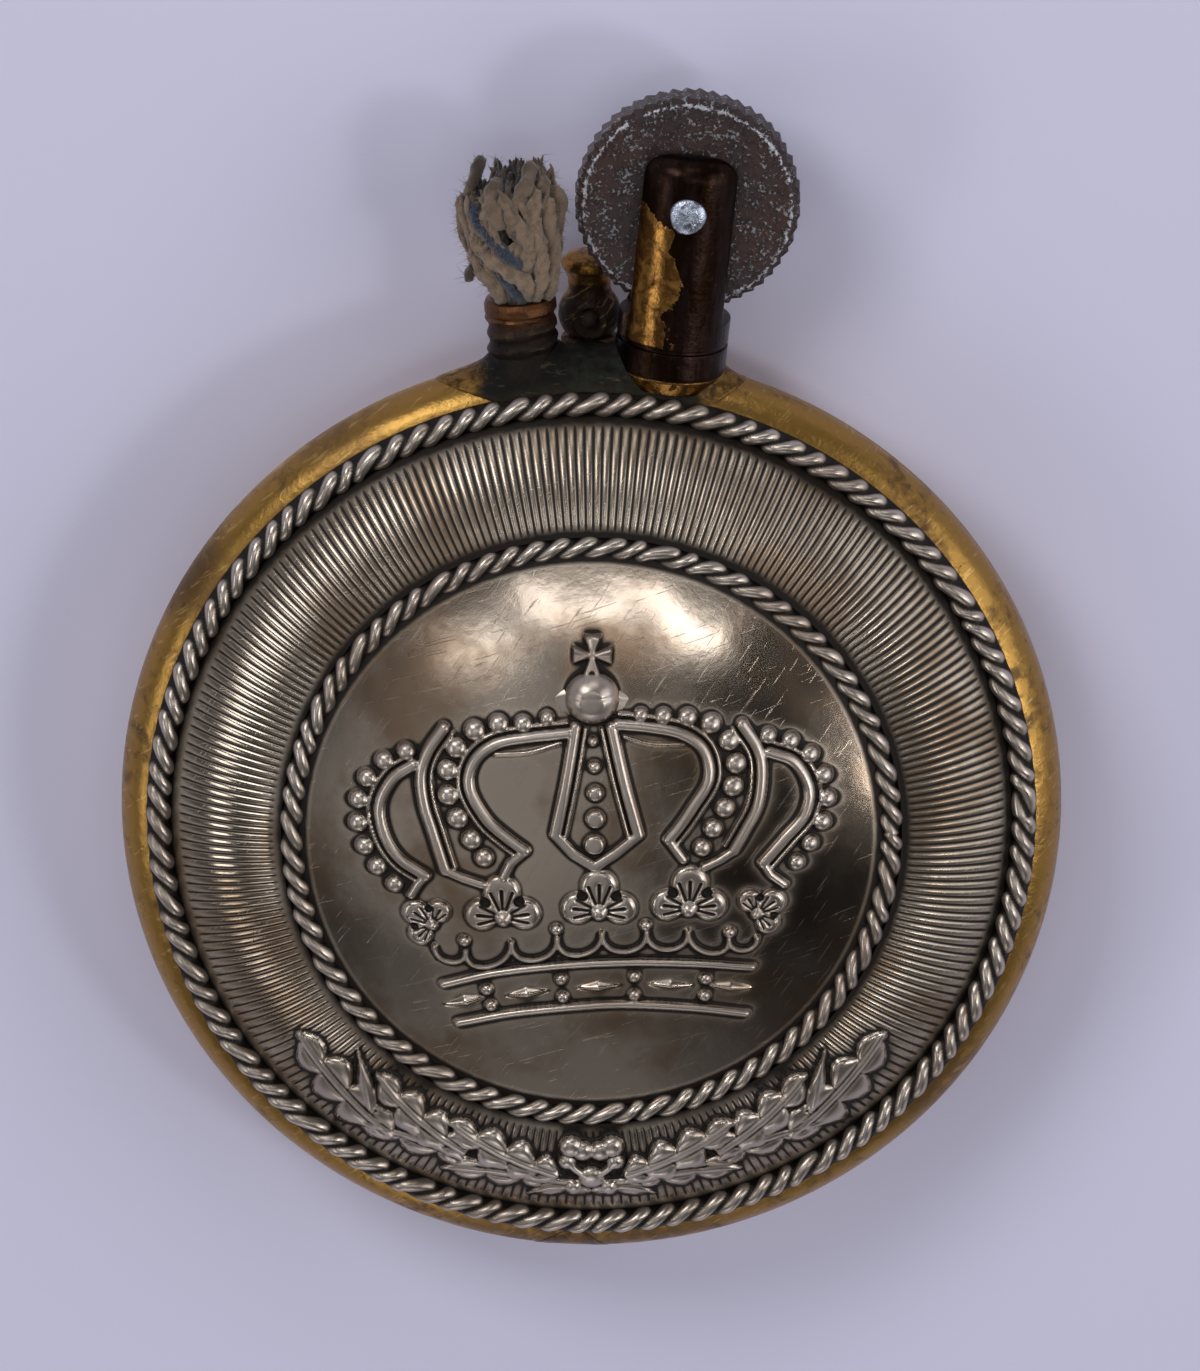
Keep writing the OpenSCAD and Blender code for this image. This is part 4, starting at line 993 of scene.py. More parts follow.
# %% Flint, rod, spring and tube
flint_side = soften([(0, -2.02), (1.2, -2.02), (1.27, -1.95), (1.27, 2.4), (1.2, 2.48), (0, 2.48)], 0.05)
flint_shape = turned(finer(flint_side, 0.12), POST_AT, POST_UP, 72, wobble=0.012, seed=31)
lying = flint_shape.points - POST_AT
worn = np.clip((lying @ POST_UP - 2.0) / 0.4, 0, 1) * (0.11 - 0.07 * (lying @ lean(POST_UP)) ** 2)
flint_shape.points -= worn[:, None] * POST_UP
flint = piece("flint_stick", flint_shape, "flint", stands_for=("flint",))
rod_side = soften([(0, -21.02), (1.27, -21.0), (1.27, -19.84), (0.74, -19.8), (0.74, -3.24),
                   (1.27, -3.2), (1.27, -2.04), (0, -2.02)], 0.06)
rod = piece("pusher_rod", turned(finer(rod_side, 0.4), POST_AT, POST_UP, 72), "flint",
            stands_for=("flint_pusher",))
pipe_ring = [(1.36, -44.0), (1.75, -44.0), (1.75, 1.24), (1.36, 1.24)]
pipe = piece("flint_pipe", turned(finer(pipe_ring, 1.0), POST_AT, POST_UP, 72, True),
             stands_for=("flint_channel",))


def coil():
    """A tube along the screw line (0.97 cos a, 0.97 sin a, climb a), flattened turns at the ends."""
    t = np.linspace(0, 1, 18 * 26)
    a = 2 * pi * 18 * t
    rise_up = -45.02 + 0.18 + 23.64 * np.clip((t - 0.04) / 0.92, 0, 1)
    ring = 0.97 * (np.cos(a)[:, None] * lean(POST_UP) + np.sin(a)[:, None] * Y_BACK)
    return tube(POST_AT + ring + rise_up[:, None] * POST_UP, 0.18, 8)


spring = piece("coil_spring", coil(), "spring", stands_for=("flint_spring",))
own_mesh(spring)

# %% [markdown]
# ## Cotton wadding
# The wadding is two soft half discs, packed into the tank on both sides of the flint tube. A
# half is cut into slices side by side with the tube: each slice is a ring that runs along the
# front depth of the wad and back along its rear depth, and meets itself at the round edge.

# %% Wadding
WAD_R = 22.4
WAD_EDGE = [0.0, 11.0, 16.6, 21.0, WAD_R]
WAD_REAR, WAD_FRONT = [1.0, 1.0, 2.3, 4.4, 5.9], [8.9, 8.5, 8.0, 7.3, 5.9]


def half_wad(first, last):
    """Slices from first to last, measured across from the middle: in a slice at s the points are
    z = L cos(a) with L = sqrt(22.4^2 - s^2), in front for the first half turn, behind for the rest."""
    s = np.linspace(first, last, 70)[:, None]
    a = np.linspace(0, 2 * pi, 120, endpoint=False)[None, :]
    along = np.sqrt(WAD_R ** 2 - s ** 2) * np.cos(a)
    r = np.minimum(np.hypot(s, along), WAD_R)
    depth = np.where(a < pi, np.interp(r, WAD_EDGE, WAD_FRONT), np.interp(r, WAD_EDGE, WAD_REAR))
    lumps = sum(rng.normal() * np.sin(k * s + rng.uniform(0, 6)) * np.sin(0.8 * k * along + rng.uniform(0, 6))
                for k in (0.4, 0.7, 1.1, 1.6, 2.3)) * 0.06 * np.clip((22.0 - r) / 3, 0, 1)
    points = np.multiply.outer(s + 0 * a, lean(POST_UP)) + np.multiply.outer(along, POST_UP)
    points[..., 1] = -depth - lumps
    return ring_grid(points, False)


beside = float(POST_AT @ lean(POST_UP))
cotton = piece("cotton_pad", half_wad(-22.2, beside - 2.0) + half_wad(beside + 2.0, 22.2),
               stands_for=("cotton_wadding",))
print("the flint tube passes", round(beside, 2), "mm right of the middle")

# %% [markdown]
# ## The wick
# The wick is a bundle of loosely spun cotton yarns that opens out above its tube. Each yarn is
# a tube along its own path: on a circle round the middle of the bundle, with the circle
# growing and turning as it climbs. The radius changes with three plies and with random lumps.

# %% Yarns
TUFT_FOOT, TUFT_HIGH, TUFT_LEAN = 3.2, 7.6, -0.35


def tuft_share(h):
    """0 at the foot of the tuft, over the mouth of the tube, and 1 at its top."""
    return np.clip((h - TUFT_FOOT) / TUFT_HIGH, 0, 1)


def tuft_width(h):
    """Half width of the bundle: 1.2 in the tube, then a quick swell that falls off at the top."""
    t = tuft_share(h)
    return 1.2 + 1.28 * np.sin(pi / 2 * np.minimum(1, 1.9 * t)) * np.sqrt(np.maximum(0, 1 - 0.55 * t ** 5))


TUFT_TOP_X = [-2.6, -2.1, -1.55, -1.25, -0.7, 0.0, 0.6, 1.1, 1.5, 2.0, 2.6]
TUFT_TOP_H = [8.2, 9.2, 9.6, 9.3, 9.9, 10.2, 10.2, 10.6, 10.4, 9.3, 8.2]


def in_wick(x, y, h):
    """A place given across, in depth and along the leaning axis of the wick."""
    place = WICK_AT + np.multiply.outer(x, lean(WICK_UP)) + np.multiply.outer(y, Y_BACK)
    return place + np.multiply.outer(h, WICK_UP)


def yarn(path, thick, tint, blue=0.0, soot=0.0, cols=12):
    """A lumpy tube: radius = thick (1 + 0.15 cos(3 a - 6 s) + slow and quick waves in s and a)."""
    path = np.asarray(path, float)
    s = np.concatenate([[0], np.cumsum(np.linalg.norm(np.diff(path, axis=0), axis=1))])[:, None]
    a = np.linspace(0, 2 * pi, cols, endpoint=False)[None, :]
    waves = [(1.1, 0), (2.3, 0), (3.1, 1), (4.3, 1), (5.9, 2), (7.7, 2), (9.5, 3)]
    lumps = sum(rng.normal() * np.sin(k * s + rng.uniform(0, 6)) * np.cos(n * a + rng.uniform(0, 6))
                / (1 + 0.25 * k) for k, n in waves)
    fine = sum(rng.normal() * np.sin(k * s + n * a + rng.uniform(0, 6))
               for k, n in [(14, 2), (19, 3), (23, -2)]) * 0.022
    radius = np.asarray(thick).reshape(-1, 1) * (1 + 0.15 * np.cos(3 * a - 6 * s) + 0.14 * lumps + fine)
    height = (path - WICK_AT) @ WICK_UP
    marks = {"yarn": tint, "blue": blue, "soot": soot}
    marks = {key: np.full(radius.shape, float(v)) for key, v in marks.items()}
    marks["up"] = np.broadcast_to(height[:, None], radius.shape)
    shape = tube(path, np.maximum(radius, 0.03), cols, marks)
    lean_back = TUFT_LEAN * tuft_share(shape.marks["up"])
    off = shape.points - in_wick(lean_back, 0 * lean_back, shape.marks["up"])
    far = np.linalg.norm(off * [1.0, 1.25, 1.0], axis=1) / tuft_width(shape.marks["up"])
    # inner: 1 for yarns deep inside the bundle, which the finish paints dark as shade
    shape.marks["inner"] = np.clip((0.98 - far) / 0.3, 0, 1)
    return shape


def wander(h, waves, t):
    """Slow random waves up a yarn, from none at the foot of the tuft to 0.10 times their sum."""
    return sum(rng.normal() * np.sin(k * h + rng.uniform(0, 6)) for k in waves) * 0.10 * np.minimum(1, 2 * t)


def bundle_yarn(share, angle, tint):
    """x = width share cos(angle - 0.1 h), y = 0.76 of the same with sin, up to the ragged top."""
    lower, upper = np.linspace(-12.7, 3.1, 30), np.linspace(3.2, 10.9, 88)
    h = np.concatenate([lower, upper])
    t = tuft_share(h)
    turn = angle - 0.10 * h
    width = tuft_width(h) - 0.24 - 0.08 * t
    stray = wander(h, (0.7, 1.6, 2.7), t)
    deep = wander(h, (0.8, 1.7, 2.9), t)
    x = TUFT_LEAN * t + width * share * np.cos(turn) + stray
    y = (1 - 0.24 * np.minimum(1, 3 * t)) * width * share * np.sin(turn) + deep
    top = np.interp(x[-1], TUFT_TOP_X, TUFT_TOP_H) - 0.15 - 0.5 * share ** 4 - abs(0.25 * rng.normal())
    keep = h < top
    thick = 0.235 + 0.15 * np.sin(pi / 2 * np.clip((h - 3.0) / 2.5, 0, 1))
    thick = (thick * np.sqrt(np.clip((top + 0.12 - h) / 0.7, 0.02, 1)))[keep]
    TIPS.append((x[keep][-1], y[keep][-1], h[keep][-1]))
    return yarn(in_wick(x, y, h)[keep], thick, tint)


def strand(x, y, h, thick):
    """A thin ply that has come loose, tapering towards both ends."""
    path = in_wick(x, y, h)
    t = np.linspace(0, 1, len(path))
    thick = thick * np.clip(np.minimum(t, 1 - t) * 6 + 0.2, 0, 1) ** 0.7
    return yarn(path, thick, rng.uniform(0.2, 1.0), cols=7)


def end_strand(tip):
    """From 0.9 under a yarn's end to a little over it: tip + spread t^2 sideways."""
    t = np.linspace(0, 1, 14)
    turn, spread, high = rng.uniform(0, 2 * pi), rng.uniform(0.1, 0.5), rng.uniform(1.0, 1.5)
    return strand(tip[0] + spread * np.cos(turn) * t ** 2, tip[1] + 0.8 * spread * np.sin(turn) * t ** 2,
                  tip[2] - 0.9 + high * t, rng.uniform(0.07, 0.13))


def face_strand(angle, low, long):
    """On the outside of the bundle: (tuft_width + 0.05) cos(angle + drift t), wandering a little."""
    t = np.linspace(0, 1, 26)
    h = low + long * t
    around = angle + rng.normal() * 0.28 * t + rng.normal() * 0.08 * np.sin(6 * t + rng.uniform(0, 6))
    wide = tuft_width(h) + 0.05 + 0.08 * np.sin(7 * t + rng.uniform(0, 6))
    x = TUFT_LEAN * tuft_share(h) + wide * np.cos(around)
    return strand(x, 0.8 * wide * np.sin(around), h, rng.uniform(0.1, 0.19))


TIPS = []
yarns = [bundle_yarn(0.02, 0.0, 0.5)]
for share, count, first in ((0.48, 7, 0.3), (0.96, 15, 0.1)):
    for k in range(count):
        out = share * rng.uniform(0.93, 1.04)
        angle = first + 2 * pi * k / count + rng.uniform(-0.1, 0.1)
        yarns.append(bundle_yarn(out, angle, rng.uniform(0, 1)))
yarns += [end_strand(tip) for tip in TIPS for _ in range(6)]
yarns += [face_strand(rng.uniform(-pi, 0.1), rng.uniform(3.2, 7.4), rng.uniform(1.4, 2.8)) for _ in range(70)]
print(len(yarns), "yarns,", sum(len(y.points) for y in yarns), "points")

# %% [markdown]
# ## Loose yarns
# A few yarns lie on the front of the bundle: a blue tracer thread that dips under a pale one,
# thick curls at the right, a spike at the left, and a burnt end. Their paths are smooth curves
# through a few points.

# %% Loose yarns and fluff
def loose(points, thick, tint, blue=0.0, soot=0.0):
    """A yarn through given places, thinner towards both ends."""
    path = smooth_path(points, 14 * len(points))
    t = np.linspace(0, 1, len(path))
    return yarn(path, thick * np.clip(np.minimum(t, 1 - t) * 7 + 0.25, 0, 1) ** 0.6, tint, blue, soot)


yarns += [
    loose([(-6.1, -6.7, 32.5), (-5.95, -7.2, 32.0), (-5.4, -7.65, 31.2), (-4.68, -7.85, 30.4),
           (-3.9, -7.85, 29.7), (-3.2, -7.3, 29.0)], 0.36, 0.4, blue=1.0),
    loose([(-5.3, -6.8, 29.5), (-4.6, -7.3, 28.8), (-4.1, -7.35, 28.2), (-3.6, -7.15, 27.5),
           (-3.3, -6.8, 26.6)], 0.33, 0.4, blue=1.0),
    loose([(-6.2, -6.6, 31.4), (-5.9, -7.1, 30.6), (-5.1, -7.6, 29.8), (-4.2, -7.8, 29.2),
           (-3.4, -7.6, 28.5), (-3.1, -7.1, 27.4)], 0.42, 1.0),
    loose([(-6.1, -6.4, 30.0), (-5.6, -7.0, 29.0), (-4.9, -7.2, 28.2), (-4.5, -7.0, 27.2)], 0.40, 0.7),
    loose([(-2.9, -7.0, 27.2), (-2.6, -7.5, 28.6), (-2.55, -7.7, 30.0), (-2.9, -7.8, 31.4),
           (-3.0, -7.6, 32.6), (-2.7, -7.3, 33.4)], 0.40, 0.9),
    loose([(-2.3, -6.8, 27.3), (-2.0, -7.2, 28.8), (-1.95, -7.3, 30.4), (-2.2, -7.4, 31.8),
           (-2.1, -7.1, 32.9)], 0.38, 0.6),
    loose([(-3.5, -7.3, 28.9), (-3.2, -7.8, 30.2), (-3.5, -8.0, 31.4), (-4.2, -7.8, 32.2),
           (-4.6, -7.5, 33.2)], 0.42, 0.8),
    loose([(-4.5, -7.6, 31.4), (-4.9, -7.8, 32.2), (-5.1, -7.4, 33.1), (-4.7, -7.0, 33.9)], 0.44, 0.35),
    loose([(-3.9, -7.6, 32.4), (-3.6, -7.6, 33.2), (-3.2, -7.2, 34.0), (-3.1, -6.7, 34.7)], 0.40, 0.3),
    loose([(-6.3, -6.3, 31.2), (-6.4, -6.3, 32.4), (-6.1, -6.3, 33.4), (-5.75, -6.2, 34.3),
           (-5.66, -6.1, 34.85)], 0.30, 0.3),
    loose([(-1.9, -6.4, 30.9), (-1.68, -6.4, 31.9), (-1.66, -6.4, 32.6), (-2.0, -6.3, 33.3)], 0.36, 0.5),
    loose([(-5.6, -6.6, 29.4), (-6.0, -6.8, 29.0), (-6.25, -6.9, 28.75), (-6.2, -6.9, 28.35)], 0.27, 0.2,
          soot=1.0),
]
wick_shape = yarns[0]
for one in yarns[1:]:
    wick_shape = wick_shape + one
wick = piece("cotton_wick", wick_shape, "wick", stands_for=("wick",), crisp=180)


def fluff(count):
    """Thin bent fibres: root + length (0.8 out t + 0.5 side t^2), a triangle round each, for all
    at once."""
    mesh, marks = wick_shape.points, wick_shape.marks
    high = np.flatnonzero(marks["up"] > 3.4)
    roots = rng.choice(high, count)
    at, h = mesh[roots], marks["up"][roots]
    middle = in_wick(TUFT_LEAN * tuft_share(h), np.zeros(count), h)
    out = at - middle
    out /= np.linalg.norm(out, axis=1)[:, None]
    out += 0.6 * rng.normal(size=(count, 3))
    out /= np.linalg.norm(out, axis=1)[:, None]
    side = rng.normal(size=(count, 3))
    long = rng.uniform(0.15, 0.55, count)[:, None, None]
    t = np.linspace(0, 1, 4)[None, :, None]
    line = at[:, None] - 0.05 * out[:, None] + long * (0.8 * out[:, None] * t + 0.5 * side[:, None] * t ** 2)
    n1 = np.cross(out, side)
    n1 /= np.linalg.norm(n1, axis=1)[:, None]
    n2 = np.cross(out, n1)
    a = (2 * pi * np.arange(3) / 3)[None, None, :, None]
    thin = 0.018 * (1.15 - t)[:, :, None]
    points = line[:, :, None] + thin * (np.cos(a) * n1[:, None, None] + np.sin(a) * n2[:, None, None])
    first = 12 * np.arange(count)[:, None]
    quads = (first[..., None] + cells(4, 3, False, True)[None]).reshape(-1, 4)
    tris = np.concatenate([first + np.array([0, 2, 1]), first + np.array([9, 10, 11])])
    keep = {key: np.repeat(v[roots], 12) for key, v in marks.items()}
    return Shape(points.reshape(-1, 3), quads, tris, keep).outward()


wick_fluff = piece("wick_fluff", fluff(5200), "wick", crisp=180)

# %% [markdown]
# ## Writing finishes as sums
# A finish is a small program made of nodes. One class wraps an output so that it can be added,
# multiplied and compared in Python, which adds the Math nodes. Colours are mixed by Mix nodes,
# since a Math node would turn them grey. Every other node comes from one method.

# %% Wires and finishes
class Wire:
    """An output of a node, with arithmetic that adds Math nodes."""

    def __init__(self, finish, socket):
        self.finish, self.socket = finish, socket

    def math(self, operation, a, b=0.0, clamp=False):
        return self.finish.node("ShaderNodeMath", {"operation": operation, "use_clamp": clamp}, {0: a, 1: b})

    def __add__(self, other):
        return self.math("ADD", self, other)

    def __radd__(self, other):
        return self.math("ADD", other, self)

    def __sub__(self, other):
        return self.math("SUBTRACT", self, other)

    def __rsub__(self, other):
        return self.math("SUBTRACT", other, self)

    def __mul__(self, other):
        return self.math("MULTIPLY", self, other)

    def most(self, other):
        """The larger of two values."""
        return self.math("MAXIMUM", self, other)

    def held(self):
        """The value kept between 0 and 1."""
        return self.math("ADD", self, 0.0, clamp=True)


def tone(r, g, b):
    """A colour written as on a screen, 0 to 255, as the linear numbers that light adds up in."""
    c = np.array([r, g, b]) / 255
    c = np.where(c <= 0.04045, c / 12.92, ((c + 0.055) / 1.055) ** 2.4)
    return (*[float(v) for v in c], 1.0)


class Finish:
    """A material whose nodes are added by one method."""

    def __init__(self, name, **fixed):
        self.material = bpy.data.materials.new(name)
        self.material.use_nodes = True
        self.tree = self.material.node_tree
        self.tree.nodes.clear()
        self.out = self.tree.nodes.new("ShaderNodeOutputMaterial")
        self.shader = self.tree.nodes.new("ShaderNodeBsdfPrincipled")
        self.tree.links.new(self.shader.outputs[0], self.out.inputs["Surface"])
        self.place = None
        self.set(**fixed)

    def put(self, value, socket):
        if isinstance(value, Wire):
            self.tree.links.new(value.socket, socket)
        else:
            socket.default_value = value

    def set(self, **inputs):
        """Sets the shader's sockets: Base_Color stands for Base Color."""
        for key, value in inputs.items():
            self.put(value, self.shader.inputs[key.replace("_", " ")])
        return self

    def node(self, kind, settings=None, inputs=None, output=0):
        made_node = self.tree.nodes.new(kind)
        for key, value in (settings or {}).items():
            if key == "stops":
                ramp = made_node.color_ramp
                while len(ramp.elements) > len(value):
                    ramp.elements.remove(ramp.elements[-1])
                for k, (at, colour) in enumerate(value):
                    element = ramp.elements[k] if k < len(ramp.elements) else ramp.elements.new(at)
                    element.position, element.color = at, colour
            else:
                setattr(made_node, key, value)
        for key, value in (inputs or {}).items():
            self.put(value, made_node.inputs[key])
        return Wire(self, made_node.outputs[output])

    def mm(self, stretch=(1.0, 1.0, 1.0), turn=(0.0, 0.0, 0.0), at=(0.0, 0.0, 0.0)):
        """Object coordinates in millimetres, from a middle, turned and stretched."""
        place = self.node("ShaderNodeTexCoord", output="Object")
        return self.node("ShaderNodeMapping", {"vector_type": "TEXTURE"}, {
            "Vector": place, "Location": [v * MM for v in at], "Rotation": turn,
            "Scale": [MM / s for s in stretch]})

    def noise(self, scale, detail=4.0, rough=0.55, bend=0.0, **where):
        """Cloudy values around 0.5, with about scale clouds to a millimetre."""
        return self.node("ShaderNodeTexNoise", {}, {
            "Vector": self.mm(**where), "Scale": scale, "Detail": detail, "Roughness": rough,
            "Distortion": bend})

    def band(self, value, low, high, first=0.0, last=1.0):
        """Rises smoothly from first to last while the value goes from low to high."""
        return self.node("ShaderNodeMapRange", {"interpolation_type": "SMOOTHSTEP"}, {
            "Value": value, "From Min": low, "From Max": high, "To Min": first, "To Max": last})

    def mix(self, amount, a, b, how="MIX"):
        """Colour a, and b where the amount is 1."""
        return self.node("ShaderNodeMix", {"data_type": "RGBA", "blend_type": how, "clamp_factor": True},
                         {0: amount, 6: a, 7: b}, output=2)

    def mark(self, name):
        """A number that was stored on the points of the piece."""
        return self.node("ShaderNodeAttribute", {"attribute_name": name}, output="Fac")

    def near(self, at, radius):
        """1 at a place given in millimetres, falling to 0 at a radius round it."""
        far = self.node("ShaderNodeVectorMath", {"operation": "DISTANCE"}, {0: self.mm(), 1: at},
                        output="Value")
        return self.band(far, radius, 0.3 * radius)

    def parts(self, vector):
        """The three numbers of a vector."""
        split = self.node("ShaderNodeSeparateXYZ", {}, {0: vector})
        return [Wire(self, output) for output in split.socket.node.outputs]

    def bump(self, height, depth, strength=1.0):
        """Small unevenness, depth in millimetres for a height that runs from 0 to 1."""
        return self.node("ShaderNodeBump", {}, {
            "Strength": strength, "Distance": depth * MM, "Height": height})

    def on(self, *objects):
        for obj in objects:
            obj.data.materials.clear()
            obj.data.materials.append(self.material)
        return self


print("a screen grey of 128 is", round(tone(128, 128, 128)[0], 3), "in light")

# %% [markdown]
# ## Nickel silver
# The medallion is stamped from a copper alloy that looks like silver. Handling keeps its crests
# bright, and the hollows are painted dark brown for grime and for shade, so the marks made with
# the relief drive both. The smooth dome has fine scratches in all directions and warm, blotchy tarnish.

# %% Nickel silver
def nickel_silver(name):
    m = Finish(name, IOR=1.5)
    clouds = m.noise(0.16, 4, 0.6)
    spots = m.noise(1.9, 4, 0.65)
    # deep: dark brown grime and painted shade, wherever the hollow mark is high
    deep = (m.mark("hollow") * 1.15 + (spots - 0.5) * 0.5 * m.mark("hollow")).held()
    fine = m.noise(0.8, 2, 0.5, stretch=(12.0, 1.0, 0.5), turn=(0, 0.6, 0))
    cross = m.noise(0.8, 2, 0.5, stretch=(0.4, 1.0, 11.0), turn=(0, -0.3, 0))
    scratch = (m.band(fine, 0.66, 0.7) + m.band(cross, 0.67, 0.7)).held()
    crest = m.mark("crest")
    metal = m.mix(m.band(clouds, 0.42, 0.66), tone(172, 159, 145), tone(136, 116, 97))
    metal = m.mix(crest * 0.55, metal, tone(206, 196, 189))
    metal = m.mix(scratch * 0.15, metal, tone(205, 198, 186))
    colour = m.mix(m.band(deep, 0.12, 0.8), metal, tone(22, 14, 8))
    shine = 0.15 + m.band(clouds, 0.45, 0.7) * 0.07 + crest * 0.17 + scratch * 0.08 + deep * 0.4
    m.set(Base_Color=colour, Roughness=shine, Metallic=1.0 - deep * 0.6,
          Normal=m.bump(m.noise(0.33, 2, 0.4) + m.noise(2.6, 3, 0.6) * 0.12 + scratch * 0.05, 0.028))
    return m


silver = nickel_silver("nickel_silver").on(*SILVER_PIECES)
print("finish:", silver.material.name)

# %% [markdown]
# ## Brass
# Old brass is gold where it is rubbed and brown where it is not, with dark specks of corrosion.
# Clouds of noise choose between the two colours, finer noise makes the specks, and the same
# values drive the roughness. A few larger stains have a place of their own on the rim, and a
# patch of painted shade darkens the filler ball.

# %% Brass
def aged_brass(name, bright, dull, dirt, stains_and_shade=(), dullness=0.5, specks=0.5, grain=1.0):
    m = Finish(name, IOR=1.5)
    clouds = m.noise(0.22 * grain, 6, 0.62, 0.6)
    small = m.noise(1.5 * grain, 5, 0.6, 0.3)
    brown = m.band(clouds * 0.6 + small * 0.4, 0.62 - 0.25 * dullness, 0.78 - 0.25 * dullness)
    # real stains on the rim, and painted shade on the filler ball
    for place, radius, amount in stains_and_shade:
        brown = brown.most(m.near(place, radius) * m.band(small * 0.5 + clouds * 0.5, 0.3, 0.55) * amount)
    speck = m.band(m.noise(3.2 * grain, 4, 0.7), 0.72 - 0.12 * specks, 0.76 - 0.12 * specks)
    rub = m.band(m.noise(1.1, 3, 0.6, stretch=(5.0, 1.0, 0.5), turn=(0, 0.9, 0)), 0.6, 0.68)
    colour = m.mix(brown, bright, dull)
    colour = m.mix(rub * 0.25, colour, tone(236, 200, 130))
    colour = m.mix((speck * (0.35 + brown * 0.5)).held(), colour, dirt)
    m.set(Base_Color=colour, Metallic=1.0 - speck * 0.4 - brown * 0.25,
          Roughness=0.33 + brown * 0.16 + speck * 0.25,
          Normal=m.bump(small + speck * 0.4 + m.noise(5.0, 3, 0.6) * 0.3, 0.04))
    return m


RIM_STAINS = (((-20.4, -6, 12.7), 4.0, 1.0), ((18.8, -6, -15.0), 6.0, 0.8), ((0.0, -6, -23.5), 10.0, 0.9),
              ((-13.0, -6, 20.3), 4.0, 0.7))
# painted shade: the front of the filler ball and its pin are turned dull dark brown
BALL_SHADE = (((-0.1, -4.4, 25.3), 2.7, 3.0),)
aged_brass("rim_brass", tone(158, 122, 64), tone(98, 72, 42), tone(28, 20, 14),
           RIM_STAINS).on(tank_back, tank_front)
aged_brass("dark_brass", tone(122, 92, 50), tone(62, 48, 36), tone(24, 18, 14),
           dullness=0.9).on(neck, bush_piece, screw_piece, pipe)
aged_brass("plug_brass", tone(158, 114, 54), tone(44, 30, 18), tone(18, 12, 8),
           BALL_SHADE, dullness=0.7, grain=2.0).on(filler, cross_pin)

# %% [markdown]
# ## The post's worn gilding
# The post is nearly black-brown with age, and a ragged patch down the left of its front cheek
# has been rubbed back to gold. The patch is where the distance across the post is less than
# an edge that wanders with noise, in coordinates turned to lean with the post.

# %% Post brass
def post_brass(name):
    m = Finish(name, IOR=1.5)
    tilt = dict(at=POST_AT, turn=(0, radians(6), 0))
    x, y, h = m.parts(m.mm(**tilt))
    wander = m.noise(0.42, 5, 0.6, 0.4, **tilt)
    fleck = m.noise(1.6, 4, 0.6, 0.5, **tilt)
    edge = (wander - 0.5) * 4.2 + (fleck - 0.5) * 0.9 - 0.35 - m.band(h, 6.9, 9.2) * 2.6
    gold = m.band(edge - x, 0.0, 0.07) * m.band(y, -0.9, -1.1) * m.band(h, 1.08, 1.2)
    gold = gold * (1.0 - m.band(fleck, 0.66, 0.7) * 0.9)
    low = m.band(h, -0.55, -0.75) * m.band(y, -0.2, -1.6)
    gold = gold.most(low * m.band(fleck, 0.3, 0.4))
    purple = m.band(m.noise(0.9, 4, 0.6, stretch=(1.6, 1.0, 0.35), **tilt), 0.4, 0.62)
    dark = m.mix(purple, tone(28, 17, 10), tone(42, 30, 27))
    dark = m.mix(m.band(m.noise(2.4, 4, 0.65, **tilt), 0.62, 0.72) * 0.5, dark, tone(80, 56, 34))
    bright = m.mix(m.band(fleck, 0.38, 0.6), tone(146, 106, 54), tone(90, 60, 30))
    m.set(Base_Color=m.mix(gold, dark, bright), Metallic=1.0,
          Roughness=0.33 - gold * 0.07 + (fleck - 0.5) * 0.2,
          Normal=m.bump(m.noise(1.3, 5, 0.6, **tilt) * 0.6 + gold * 0.35 + m.noise(4.5, 3, 0.6) * 0.25, 0.05))
    return m


post_brass("post_brass").on(post, ferrule)

# %% [markdown]
# ## The wick tube and the saddle
# The lip of the tube is coppery and its crests are rubbed, while soot and verdigris darken the
# foot. The saddle and the solder round the tubes are nearly black, a little green in places.

# %% Thread brass and dark saddle
def thread_brass(name):
    m = Finish(name, Specular_IOR_Level=0.2)
    h = m.parts(m.mm(at=WICK_AT, turn=(0, radians(-4), 0)))[2]
    small = m.noise(1.7, 5, 0.62, 0.5)
    high = m.band(h + (small - 0.5) * 1.2, 1.5, 2.6)
    crest = m.mark("crest") * m.band(small, 0.35, 0.6)
    colour = m.mix(high, tone(26, 21, 18), tone(92, 60, 38))
    colour = m.mix((crest * 0.7).held(), colour, m.mix(high, tone(66, 54, 40), tone(156, 110, 70)))
    colour = m.mix(m.band(m.noise(2.6, 4, 0.7), 0.58, 0.66) * 0.7, colour, tone(15, 11, 9))
    m.set(Base_Color=colour, Metallic=0.55 + high * 0.35, Roughness=0.5 - high * 0.14 - crest * 0.1,
          Normal=m.bump(small + m.noise(5.0, 4, 0.65) * 0.6, 0.07))
    return m


